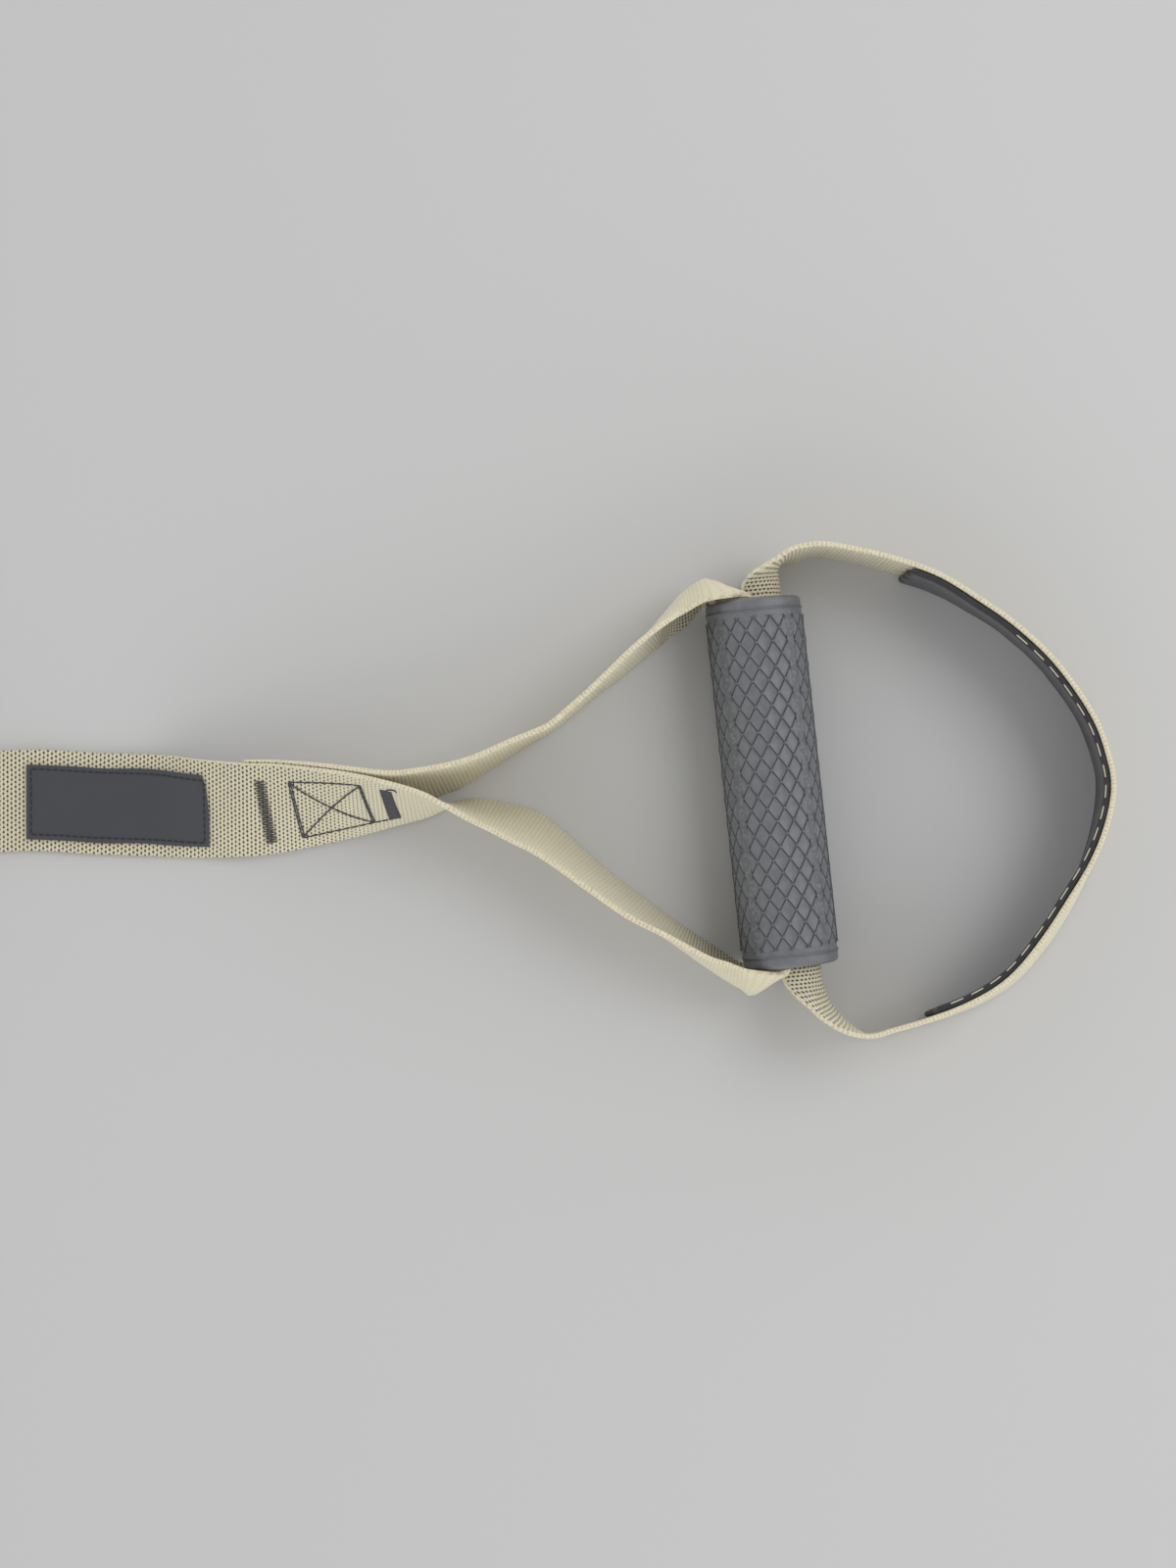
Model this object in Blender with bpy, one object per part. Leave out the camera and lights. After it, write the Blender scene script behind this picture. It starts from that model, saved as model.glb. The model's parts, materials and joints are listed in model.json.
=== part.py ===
"""One strap unit of a suspension trainer, lying on the floor.

Metres, +Z up. The drawing origin is the floor point under the middle of the grip, +X runs from the
grip towards the foot loop and +Y is the upper side of the layout. The last step moves the whole unit
so that the origin is the bottom centre of its box.
"""

import math

import bmesh
import bpy
from mathutils import Matrix, Vector
from mathutils.geometry import intersect_point_line

# Driving dimensions
WEBBING_WIDTH = 0.038
WEBBING_THICKNESS = 0.0019
CLEARANCE = 0.0003
OVERRUN = 0.004

GRIP_LENGTH = 0.135
GRIP_RADIUS = 0.018
GRIP_TILT = math.radians(6.1)
SLEEVE_WALL = 0.0018
TUBE_WALL = 0.001
STRAND_GAP = 0.0013

NET_INSET = 0.007
NET_TURN = math.radians(2.6)
NET_ROWS = 13
NET_COLUMNS = 4
NET_PANELS = 4
STRIP_WIDTH = 0.0037
RIB_HEIGHT = 0.0005
RIB_WIDTH = 0.0010
BEAD_INSET = 0.0043
BEAD_HEIGHT = 0.0004

ARM_LENGTH = 0.140
LOOP_LENGTH = 0.122
LOOP_HALF_WIDTH = 0.0855
LABEL_THICKNESS = 0.0006
PAD_THICKNESS = 0.0022

FLAT_LENGTH = 0.0475
HANK_RUN = 0.130
HANK_LAYERS = 9
HANK_GAP = 0.0005
HANK_STANDOFF = 0.025
TIE_WIDTH = 0.020
TIE_THICKNESS = 0.0010

BUCKLE_LENGTH = 0.052
BUCKLE_STANDOFF = 0.057
BUCKLE_WALL = 0.0020
PLATE_THICKNESS = 0.0016
EAR_HEIGHT = 0.0205
CAM_PIN_RADIUS = 0.0025
CAM_BODY_RADIUS = 0.0052
CAM_TOOTH_HEIGHT = 0.0012
LEVER_LENGTH = 0.028
LEVER_THICKNESS = 0.0028
SPRING_WIRE = 0.0009
SPRING_SPACE = 0.0062
TAIL_LENGTH = 0.055
TRAVEL_IN = 0.012
TAIL_FOLD = 0.018

ANCHOR_WIDTH = 0.025
ANCHOR_LENGTH = 0.084
BAR_RADIUS = 0.004
BOW_RADIUS = 0.026
HOOK_RADIUS = 0.015
CARABINER_LENGTH = 0.096
GATE_RADIUS = 0.0036
GATE_PIN_RADIUS = 0.0013
GATE_SPRING_RADIUS = 0.0014
GATE_SPRING_WIRE = 0.0004
GATE_SPRING_LENGTH = 0.007

# Sizes that follow from the driving ones
HALF_WIDTH = WEBBING_WIDTH / 2
HALF_THICKNESS = WEBBING_THICKNESS / 2
HALF_GRIP = GRIP_LENGTH / 2
BASE_RADIUS = GRIP_RADIUS - RIB_HEIGHT
SLEEVE_BORE = BASE_RADIUS - SLEEVE_WALL
TUBE_RADIUS = SLEEVE_BORE - CLEARANCE
BORE_RADIUS = TUBE_RADIUS - TUBE_WALL
ARM_ARC = BORE_RADIUS - CLEARANCE * 1.5 - HALF_THICKNESS
FOOT_ARC = ARM_ARC - WEBBING_THICKNESS - STRAND_GAP
GRIP_AXIS = Vector((math.sin(GRIP_TILT), -math.cos(GRIP_TILT), 0))
GRIP_SIDE = Vector((math.cos(GRIP_TILT), math.sin(GRIP_TILT), 0))
GRIP_CENTRE = Vector((0, 0, GRIP_RADIUS))
NET_LENGTH = GRIP_LENGTH - NET_INSET * 2
LAYER_STEP = WEBBING_THICKNESS + CLEARANCE
FLAT_END_SHARE = 1.804
STRAP_VISIBLE = ARM_LENGTH * FLAT_END_SHARE + FLAT_LENGTH


def clear_scene():
    for item in list(bpy.data.objects):
        bpy.data.objects.remove(item, do_unlink=True)


def material(name, colour, roughness, metallic=0.0):
    made = bpy.data.materials.get(name)
    if made is None:
        made = bpy.data.materials.new(name)
        made.use_nodes = True
        shader = made.node_tree.nodes["Principled BSDF"]
        shader.inputs["Base Color"].default_value = (*colour, 1)
        shader.inputs["Roughness"].default_value = roughness
        shader.inputs["Metallic"].default_value = metallic
    return made


def webbing_material(name):
    return material(name, (0.58, 0.53, 0.40), 0.85)


def steel_material(name):
    return material(name, (0.55, 0.56, 0.58), 0.35, 1.0)


def add_object(name, bm, finish, smooth=True):
    bmesh.ops.recalc_face_normals(bm, faces=bm.faces[:])
    mesh = bpy.data.meshes.new(name)
    bm.to_mesh(mesh)
    bm.free()
    item = bpy.data.objects.new(name, mesh)
    bpy.context.collection.objects.link(item)
    item.data.materials.append(finish)
    if smooth:
        mesh.shade_smooth()
        mesh.set_sharp_from_angle(angle=math.radians(35))
    return item


def boolean(target, tool, operation):
    """Join or cut with the exact solver, and keep the tool as a wire guide."""
    tool.hide_render = True
    tool.display_type = "WIRE"
    change = target.modifiers.new(tool.name, "BOOLEAN")
    change.operation = operation
    change.solver = "EXACT"
    change.object = tool


def new_guide(name, bm):
    guide = add_object(name, bm, material("guide", (0.5, 0.5, 0.5), 0.5), smooth=False)
    guide.hide_render = True
    guide.display_type = "WIRE"
    return guide


# Curves and arcs that the webbing follows
def along_curve(points, u):
    """Catmull-Rom curve through the points, u from 0 to 1 over equal spans."""
    spans = len(points) - 1
    place = min(max(u, 0), 1) * spans
    index = min(int(place), spans - 1)
    t = place - index
    before = points[max(index - 1, 0)]
    start = points[index]
    end = points[index + 1]
    after = points[min(index + 2, spans)]
    return 0.5 * (2 * start + (end - before) * t + (2 * before - 5 * start + 4 * end - after) * t ** 2
                  + (3 * start - before - 3 * end + after) * t ** 3)


def arc_through(first, middle, last, v):
    """Point on the circle arc from first by way of middle to last, v from 0 to 1."""
    chord = last - first
    normal = (middle - first).cross(chord)
    sagitta = (middle - intersect_point_line(middle, first, last)[0]).length
    if sagitta < chord.length / 200:
        return first.lerp(last, v)
    normal.normalize()
    a, b = first - middle, last - middle
    cross = a.cross(b)
    centre = middle + (a.length_squared * b - b.length_squared * a).cross(cross) / (2 * cross.length_squared)
    start = first - centre
    angle = start.angle(middle - centre) + (middle - centre).angle(last - centre)
    turn = Matrix.Rotation(angle * v, 3, start.cross(middle - centre))
    return centre + turn @ start


def arc_length(first, middle, last):
    steps = 12
    points = [arc_through(first, middle, last, i / steps) for i in range(steps + 1)]
    return sum((b - a).length for a, b in zip(points, points[1:]))


def standing_station(high, middle, low, lift=0.0):
    """Edge, middle and edge of the webbing where it stands on the floor on its low edge.

    The three plan places are given, and the width of the webbing then says how high it stands.
    lift moves the middle from that height (0) to the height of the grip's axis (1).
    """
    small, large = 0.0, HALF_WIDTH
    for _ in range(24):
        half = (small + large) / 2
        length = arc_length(Vector((*high, half)), Vector((*middle, 0)), Vector((*low, -half)))
        if length < WEBBING_WIDTH:
            small = half
        else:
            large = half
    flatness = math.sqrt(max(0, 1 - (half / HALF_WIDTH) ** 2))
    rest = half + HALF_THICKNESS * flatness
    height = rest + max(GRIP_RADIUS - rest, 0) * lift
    return [Vector((*high, height + half)), Vector((*middle, height)), Vector((*low, height - half))]


def leaning_station(x, y, lean_x, lean_y, bulge_x=0.0, bulge_y=0.0, lift=0.0):
    """A station from the middle of its edges, half of the lean between them and the bulge."""
    high = (x + lean_x, y + lean_y)
    low = (x - lean_x, y - lean_y)
    return standing_station(high, (x + bulge_x, y + bulge_y), low, lift)


def tube_station(along, radius, side):
    """Webbing curled round the grip's axis, its middle on one side of the bore."""
    centre = GRIP_CENTRE + GRIP_AXIS * along
    half_angle = WEBBING_WIDTH / radius / 2
    rails = []
    for angle in (half_angle, 0, -half_angle):
        across = GRIP_SIDE * (side * math.cos(angle)) + Vector((0, 0, math.sin(angle)))
        rails.append(centre + across * radius)
    return rails


class Band:
    """A run of webbing through stations of high edge, middle and low edge."""

    def __init__(self, stations):
        self.rails = [[station[k] for station in stations] for k in range(3)]
        steps = 24 * (len(stations) - 1)
        middle = [along_curve(self.rails[1], i / steps) for i in range(steps + 1)]
        self.lengths = [0.0]
        for a, b in zip(middle, middle[1:]):
            self.lengths.append(self.lengths[-1] + (b - a).length)
        self.steps = steps
        self.length = self.lengths[-1]

    def share_at(self, length):
        """The curve's own share u at a length along the middle."""
        for i in range(self.steps):
            if self.lengths[i + 1] >= length:
                span = max(self.lengths[i + 1] - self.lengths[i], 1e-9)
                return (i + (length - self.lengths[i]) / span) / self.steps
        return 1.0

    def point(self, length, v, lift=0.0):
        """Point at a length along the band and a share v of its width, lifted off its face."""
        place = self._surface(length, v)
        if lift:
            place = place + self.normal(length, v) * lift
        return place

    def _surface(self, length, v):
        u = self.share_at(length)
        first, middle, last = (along_curve(rail, u) for rail in self.rails)
        return arc_through(first, middle, last, v)

    def normal(self, length, v):
        """Up on flat webbing that runs towards +X; the band's edges are v 0 (high) and 1 (low)."""
        step = WEBBING_THICKNESS / 4
        low, high = max(length - step, 0), min(length + step, self.length)
        run = self._surface(high, v) - self._surface(low, v)
        side = self._surface(length, max(v - 0.02, 0)) - self._surface(length, min(v + 0.02, 1))
        return run.cross(side).normalized()

    def length_near(self, x, start=0.0, end=None):
        """Length at which the middle first reaches the plan place x between two lengths."""
        end = self.length if end is None else end
        steps = 200
        places = [start + (end - start) * i / steps for i in range(steps + 1)]
        return min(places, key=lambda s: abs(self._surface(s, 0.5).x - x))


def band_sheet(name, band, start, end, finish, along, across, edges=(0, 1), lift=0.0,
               thickness=WEBBING_THICKNESS):
    """A solid strip of a band between two lengths, made as a grid that follows it."""
    bm = bmesh.new()
    bmesh.ops.create_grid(bm, x_segments=along, y_segments=across, size=1)
    for vert in bm.verts:
        length = start + (end - start) * (vert.co.x + 1) / 2
        v = edges[0] + (edges[1] - edges[0]) * (1 - vert.co.y) / 2
        vert.co = band.point(length, v, lift)
    sheet = add_object(name, bm, finish)
    solid = sheet.modifiers.new("thickness", "SOLIDIFY")
    solid.thickness = thickness
    solid.offset = 0
    solid.use_even_offset = True
    return sheet


# Routes: plan places as shares of the reach and of the grip's half length, leans and bulges as
# shares of the webbing's half width
STRAP_ROUTE_SHARES = [
    # x, y of ARM_LENGTH, lean x, lean y, of HALF_WIDTH
    (-FLAT_END_SHARE, -0.056, 0.03, 1.00),
    (-1.644, -0.061, 0.04, 0.998),
    (-1.533, -0.069, 0.05, 0.96),
    (-1.400, -0.073, 0.06, 0.90),
    (-1.316, -0.070, 0.05, 0.86),
    (-1.209, -0.065, 0.05, 0.74),
    (-1.100, -0.060, 0.04, 0.59),
    (-0.994, -0.057, 0.03, 0.39),
    (-0.915, -0.058, 0.01, 0.22),
    (-0.855, -0.060, 0.00, 0.01),
    (-0.789, -0.071, -0.02, -0.17),
]
LOWER_ARM_SHARES = [
    # x of ARM_LENGTH, y of HALF_GRIP, lean x, lean y, bulge x, bulge y, of HALF_WIDTH
    (-0.723, -0.188, -0.11, -0.22, 0, 0),
    (-0.664, -0.232, -0.17, -0.26, 0, 0),
    (-0.610, -0.290, -0.17, -0.25, 0, 0),
    (-0.557, -0.372, -0.20, -0.18, 0, 0),
    (-0.506, -0.458, -0.21, -0.13, 0, 0),
    (-0.458, -0.537, -0.20, -0.11, 0, 0),
    (-0.357, -0.688, -0.18, -0.10, -0.01, -0.04),
    (-0.264, -0.804, -0.12, -0.06, -0.06, -0.11),
    (-0.174, -0.913, -0.04, -0.07, -0.03, -0.25),
    (-0.122, -0.965, -0.03, -0.02, -0.02, -0.34),
]
UPPER_ARM_SHARES = [
    # the same columns, from the junction to the upper mouth
    (-0.881, 0.012, -0.05, 0.24, 0, 0),
    (-0.832, 0.041, -0.04, 0.21, 0, 0),
    (-0.783, 0.085, -0.03, 0.16, 0, 0),
    (-0.734, 0.139, -0.02, 0.12, 0, 0),
    (-0.683, 0.197, -0.03, 0.08, 0, 0),
    (-0.635, 0.248, -0.01, 0.05, 0, 0),
    (-0.584, 0.301, -0.01, 0.03, 0, 0),
    (-0.531, 0.390, -0.03, 0.02, 0, 0),
    (-0.478, 0.485, -0.05, 0.01, 0, 0),
    (-0.419, 0.585, -0.10, 0.02, 0, 0),
    (-0.366, 0.685, -0.12, 0.03, 0, 0.01),
    (-0.316, 0.772, -0.12, 0.04, -0.05, 0.07),
    (-0.278, 0.835, -0.03, 0.09, -0.02, 0.27),
    (-0.226, 0.903, -0.03, 0.08, -0.05, 0.44),
]
FOOT_LOOP_SHARES = [
    # x of LOOP_LENGTH, y of LOOP_HALF_WIDTH, outward lean of HALF_WIDTH
    (0.285, -1.090, -0.09),
    (0.36, -1.070, -0.13),
    (0.46, -1.030, -0.14),
    (0.57, -0.975, -0.16),
    (0.67, -0.905, -0.19),
    (0.75, -0.815, -0.22),
    (0.83, -0.675, -0.235),
    (0.90, -0.520, -0.23),
    (0.96, -0.360, -0.19),
    (1.00, -0.195, -0.15),
    (1.019, -0.030, -0.13),
    (1.005, 0.110, -0.125),
    (0.955, 0.295, -0.115),
    (0.845, 0.515, -0.10),
    (0.725, 0.675, -0.085),
    (0.605, 0.790, -0.06),
    (0.49, 0.880, -0.02),
    (0.37, 0.937, 0.01),
    (0.25, 0.980, 0.01),
    (0.14, 1.006, 0.01),
]

# The arm's loop round each of the grip's ends, measured out from the rim and across from the axis
HUMP_OUT = 0.0092
LOWER_HUMP_SHARES = [
    # edges out, middle out, of HUMP_OUT, edges across, middle across, of GRIP_RADIUS
    (-0.12, 0.74, -1.00, -1.03),
    (0.09, 0.96, -0.58, -0.905),
    (0.18, 0.86, -0.28, -0.772),
    (0.14, 0.56, -0.135, -0.716),
]
UPPER_HUMP_SHARES = [
    # the same columns
    (0.10, 0.95, -1.00, -1.02),
    (0.16, 0.955, -0.58, -0.895),
    (0.19, 0.85, -0.28, -0.775),
    (0.14, 0.54, -0.12, -0.722),
]
# The foot strand's way out of the mouths
FOOT_STRAIGHT = 0.0085
LOWER_EXIT_SHARES = [
    # out of the high edge, middle and low edge, high edge across, of FOOT_STRAIGHT,
    # middle across of FOOT_ARC, low edge across of FOOT_STRAIGHT, lift
    (1.00, 1.00, 1.00, -0.26, 1.03, -0.26, 1.0),
    (1.75, 1.62, 1.75, 0.42, 1.16, 0.50, 1.0),
    (2.35, 2.20, 2.30, 0.98, 1.42, 1.12, 0.6),
    (2.93, 2.80, 2.85, 1.85, 1.85, 1.95, 0.2),
]
UPPER_EXIT_SHARES = [
    # the same columns, from the loop to the mouth
    (1.90, 1.80, 1.66, 1.86, 1.74, 2.05, 0.3),
    (1.60, 1.56, 1.56, 1.20, 1.23, 1.41, 0.7),
    (1.29, 1.25, 1.29, 0.50, 1.01, 0.64, 1.0),
    (0.95, 0.93, 0.95, -0.22, 1.00, -0.19, 1.0),
    (0.50, 0.48, 0.50, -0.39, 1.00, -0.39, 1.0),
]

# Ends of the label (of ARM_LENGTH) and of the lining (of LOOP_LENGTH), and their edges across the webbing
LABEL_START_SHARE = -1.99
LABEL_END_SHARE = -1.50
LABEL_EDGE_SHARES = (0.145, 0.885)
PAD_START_SHARE = 0.49
PAD_END_SHARE = 0.37
PAD_EDGE_SHARES = (0.01, 0.99)
FLAT_START_SHARES = (1.0, 0.5)
# The strap lies one layer higher between these shares of ARM_LENGTH, over its own end
OVER_END_SHARES = (-1.5, -0.8)


def mouth_point(end, out, across):
    """Plan place by distance out of the mouth at one end (+1 lower, -1 upper) and across the axis."""
    place = GRIP_AXIS * (end * (HALF_GRIP + out)) + GRIP_SIDE * across
    return (place.x, place.y)


def hump_stations(end, shares):
    """The arm from the open side into the bore: its middle stands out, its edges pass the rim."""
    stations = []
    for edge_out, middle_out, edge_across, middle_across in shares:
        edge = mouth_point(end, edge_out * HUMP_OUT, edge_across * GRIP_RADIUS)
        middle = mouth_point(end, middle_out * HUMP_OUT, middle_across * GRIP_RADIUS)
        stations.append(standing_station(edge, middle, edge, 1.0))
    stations.append(tube_station(end * HALF_GRIP, ARM_ARC - CLEARANCE / 2, -1))
    for share in (0.35, 1.0):
        stations.append(tube_station(end * (HALF_GRIP - HUMP_OUT * share), ARM_ARC, -1))
    return stations


def strap_station(x, y, lean_x, lean_y):
    return leaning_station(x * ARM_LENGTH, y * ARM_LENGTH, lean_x * HALF_WIDTH, lean_y * HALF_WIDTH)


def arm_station(x, y, lean_x, lean_y, bulge_x, bulge_y):
    return leaning_station(x * ARM_LENGTH, y * HALF_GRIP, lean_x * HALF_WIDTH, lean_y * HALF_WIDTH,
                           bulge_x * HALF_WIDTH, bulge_y * HALF_WIDTH)


def main_band():
    """The strap's webbing from the hank to its own end, which is sewn under the strap."""
    stations = []
    line_y = STRAP_ROUTE_SHARES[0][1] * ARM_LENGTH
    for share in FLAT_START_SHARES:
        x = -ARM_LENGTH * FLAT_END_SHARE - FLAT_LENGTH * share
        stations.append(standing_station((x, line_y + HALF_WIDTH), (x, line_y), (x, line_y - HALF_WIDTH)))
    for row in STRAP_ROUTE_SHARES:
        station = strap_station(*row)
        if OVER_END_SHARES[0] < row[0] < OVER_END_SHARES[1]:
            raise_over_end(station)
        stations.append(station)
    stations += [arm_station(*row) for row in LOWER_ARM_SHARES]
    stations += hump_stations(1, LOWER_HUMP_SHARES)
    for share in (0.6, 0.2, -0.2, -0.6):
        stations.append(tube_station(share * HALF_GRIP, ARM_ARC, -1))
    stations += hump_stations(-1, UPPER_HUMP_SHARES)[::-1]
    stations += [arm_station(*row) for row in reversed(UPPER_ARM_SHARES)]
    return stations


def station_normal(station, heading):
    return heading.cross(station[0] - station[2]).normalized()


def raise_over_end(station):
    """Lift the strap by one layer where its own end lies under it."""
    offset = station_normal(station, Vector((1, 0, 0))) * LAYER_STEP
    for k in range(3):
        station[k] = station[k] + Vector((0, 0, offset.z))


def end_under_strap():
    """The end of the upper arm under the strap, one layer below it, from the split to the cut end."""
    stations = []
    for row in reversed(STRAP_ROUTE_SHARES[3:7]):
        station = strap_station(*row)
        shift = station_normal(station, Vector((1, 0, 0))) * (LAYER_STEP * 1.3)
        stations.append([point - Vector((0, shift.y, 0)) for point in station])
    shift = Vector((0, LAYER_STEP * 1.9, 0))
    stations.insert(0, [point + shift for point in strap_station(*STRAP_ROUTE_SHARES[7])])
    return stations


def exit_station(end, high_out, middle_out, low_out, high_across, middle_across, low_across, lift):
    """The foot strand beside one mouth; the rows of the two exit tables give its shares."""
    straight = FOOT_STRAIGHT
    return standing_station(mouth_point(end, high_out * straight, high_across * straight),
                            mouth_point(end, middle_out * straight, middle_across * FOOT_ARC),
                            mouth_point(end, low_out * straight, low_across * straight), lift)


def foot_stations():
    """The foot loop from the middle of the bore, out of the lower mouth and round to the upper one."""
    stations = [tube_station(HALF_GRIP * share, FOOT_ARC, 1) for share in (0, 0.5, 0.93, 1.02)]
    stations += [exit_station(1, *row) for row in LOWER_EXIT_SHARES]
    last = len(FOOT_LOOP_SHARES) - 1
    for i, (x, y, lean) in enumerate(FOOT_LOOP_SHARES):
        before, after = FOOT_LOOP_SHARES[max(i - 1, 0)], FOOT_LOOP_SHARES[min(i + 1, last)]
        run = Vector(((after[0] - before[0]) * LOOP_LENGTH, (after[1] - before[1]) * LOOP_HALF_WIDTH))
        outward = Vector((run.y, -run.x)).normalized() * (lean * HALF_WIDTH)
        stations.append(leaning_station(x * LOOP_LENGTH, y * LOOP_HALF_WIDTH, outward.x, outward.y))
    stations += [exit_station(-1, *row) for row in UPPER_EXIT_SHARES]
    stations += [tube_station(-HALF_GRIP * share, FOOT_ARC, 1) for share in (1.01, 0.93, 0.5)]
    return stations


def build_webbing():
    """Strap, arms and the strand in the bore, cut from one band with narrow gaps."""
    stations = main_band() + end_under_strap()
    band = Band(stations)
    split = band.length_near(STRAP_ROUTE_SHARES[9][0] * ARM_LENGTH, 0, band.length / 2)
    lower_mouth = tube_place(band, 1)
    upper_mouth = tube_place(band, -1)
    gap = CLEARANCE * 0.75
    finish = webbing_material("webbing")
    band_sheet("strap_lead", band, 0, split - gap, finish, 44, 6)
    band_sheet("lower_arm", band, split + gap, lower_mouth - gap, finish, 46, 6)
    band_sheet("tube_strand", band, lower_mouth + gap, upper_mouth - gap, finish, 8, 8)
    band_sheet("upper_arm", band, upper_mouth + gap, band.length, finish, 60, 6)
    return band


def tube_place(band, end):
    """Length at which the band's middle passes a plane just inside one mouth."""
    target = end * (HALF_GRIP - HUMP_OUT)
    steps = 600
    best = None
    for i in range(steps + 1):
        length = band.length * i / steps
        place = band.point(length, 0.5) - GRIP_CENTRE
        if abs(place.dot(GRIP_SIDE) + ARM_ARC) > HALF_THICKNESS:
            continue
        miss = abs(place.dot(GRIP_AXIS) - target)
        if best is None or miss < best[0]:
            best = (miss, length)
    return best[1]


def build_label(band):
    """Woven patch on the strap, bare."""
    start = band.length_near(LABEL_START_SHARE * ARM_LENGTH, 0, band.length / 4)
    end = band.length_near(LABEL_END_SHARE * ARM_LENGTH, 0, band.length / 4)
    lift = HALF_THICKNESS + CLEARANCE + LABEL_THICKNESS / 2
    finish = material("label", (0.055, 0.057, 0.065), 0.8)
    return band_sheet("label_patch", band, start, end, finish, 14, 6, LABEL_EDGE_SHARES, lift,
                      LABEL_THICKNESS)


def build_foot_loop():
    """The foot loop's webbing and its felt lining."""
    band = Band(foot_stations() + [tube_station(-HALF_GRIP * 0.02, FOOT_ARC, 1)])
    inset = HALF_GRIP * 0.9
    gap = CLEARANCE * 0.75
    finish = webbing_material("foot_webbing")
    loop = band_sheet("foot_loop_webbing", band, inset + gap, band.length - inset - gap, finish, 112, 6)
    strand = Band([tube_station(HALF_GRIP * share, FOOT_ARC, 1) for share in (-0.9, -0.3, 0.3, 0.9)])
    inner = band_sheet("foot_strand", strand, gap, strand.length - gap, webbing_material("foot_webbing"), 6, 8)
    middle = band.length / 2
    start = band.length_near(PAD_START_SHARE * LOOP_LENGTH, 0, middle)
    end = band.length_near(PAD_END_SHARE * LOOP_LENGTH, middle, band.length)
    lift = -(HALF_THICKNESS + CLEARANCE + PAD_THICKNESS / 2)
    felt = material("felt", (0.05, 0.05, 0.058), 0.95)
    pad = band_sheet("foot_pad", band, start, end, felt, 60, 6, PAD_EDGE_SHARES, lift, PAD_THICKNESS)
    return [loop, inner, pad]


# The grip
def net_angles():
    """Angles of the lattice columns: panels with a plain parting strip between, the seam in a strip."""
    strip = STRIP_WIDTH / GRIP_RADIUS
    pitch = 2 * math.pi / NET_PANELS
    angles = [-pitch / 2]
    for k in range(NET_PANELS):
        start = -pitch / 2 + pitch * k + strip / 2
        angles += [start + (pitch - strip) * i / NET_COLUMNS for i in range(NET_COLUMNS + 1)]
    angles.append(-pitch / 2 + 2 * math.pi)
    return angles


def build_sleeve():
    """Rubber sleeve: a net of raised ribs, a bead and a rolled rim at each end, and a bore.

    The lattice is drawn flat. Panel cells are poked and their upright edges dissolved, which leaves
    diamonds, and insets then give each rib its two flanks. The sheet is rolled up at the end.
    """
    angles = net_angles()
    columns = len(angles) - 1
    rows = NET_ROWS + 2
    bm = bmesh.new()
    bmesh.ops.create_grid(bm, x_segments=columns, y_segments=rows, size=1)
    for vert in bm.verts:
        column = round((vert.co.x + 1) / 2 * columns)
        row = round((vert.co.y + 1) / 2 * rows)
        vert.co.x = angles[column] * GRIP_RADIUS
        inner_row = min(max(row - 1, 0), NET_ROWS)
        vert.co.y = NET_LENGTH * (inner_row / NET_ROWS - 0.5)
        if row in (0, rows):
            vert.co.y += math.copysign(RIB_WIDTH * 1.5, vert.co.y)
    width = (angles[2] - angles[1]) * GRIP_RADIUS
    panels = {face for face in bm.faces
              if abs(face_width(face) - width) < width / 100
              and abs(face.calc_center_median().y) < NET_LENGTH / 2}
    shared = [edge for edge in bm.edges
              if len(edge.link_faces) == 2 and all(face in panels for face in edge.link_faces)]
    bmesh.ops.poke(bm, faces=list(panels))
    bmesh.ops.dissolve_edges(bm, edges=shared, use_verts=False)
    cells = [face for face in bm.faces if is_diamond(face)]
    plain = [face for face in bm.faces if not is_diamond(face)]
    crest = [vert.co.copy() for vert in {vert for face in cells for vert in face.verts}]
    bmesh.ops.inset_individual(bm, faces=cells, thickness=RIB_WIDTH / 2, depth=0)
    bmesh.ops.inset_region(bm, faces=plain, thickness=RIB_WIDTH / 2, depth=0, use_boundary=False,
                           use_even_offset=True)
    for vert in bm.verts:
        on_crest = any((vert.co - place).length < RIB_WIDTH / 20 for place in crest)
        radius = GRIP_RADIUS if on_crest else BASE_RADIUS
        angle = vert.co.x / GRIP_RADIUS - NET_TURN
        vert.co.z = radius
        vert.co.x = angle
    for vert in bm.verts:
        angle, radius = vert.co.x, vert.co.z
        vert.co = Vector((math.sin(angle) * radius, vert.co.y, math.cos(angle) * radius))
    bmesh.ops.remove_doubles(bm, verts=bm.verts[:], dist=CLEARANCE / 100)
    close_sleeve(bm)
    return add_object("grip_sleeve", bm, material("rubber", (0.11, 0.12, 0.13), 0.6))


def face_width(face):
    return max(vert.co.x for vert in face.verts) - min(vert.co.x for vert in face.verts)


def is_diamond(face):
    """Four corners, none of whose sides is upright or level."""
    if len(face.verts) != 4:
        return False
    runs = [edge.verts[0].co - edge.verts[1].co for edge in face.edges]
    return all(min(abs(run.x), abs(run.y)) > RIB_WIDTH for run in runs)


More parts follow.
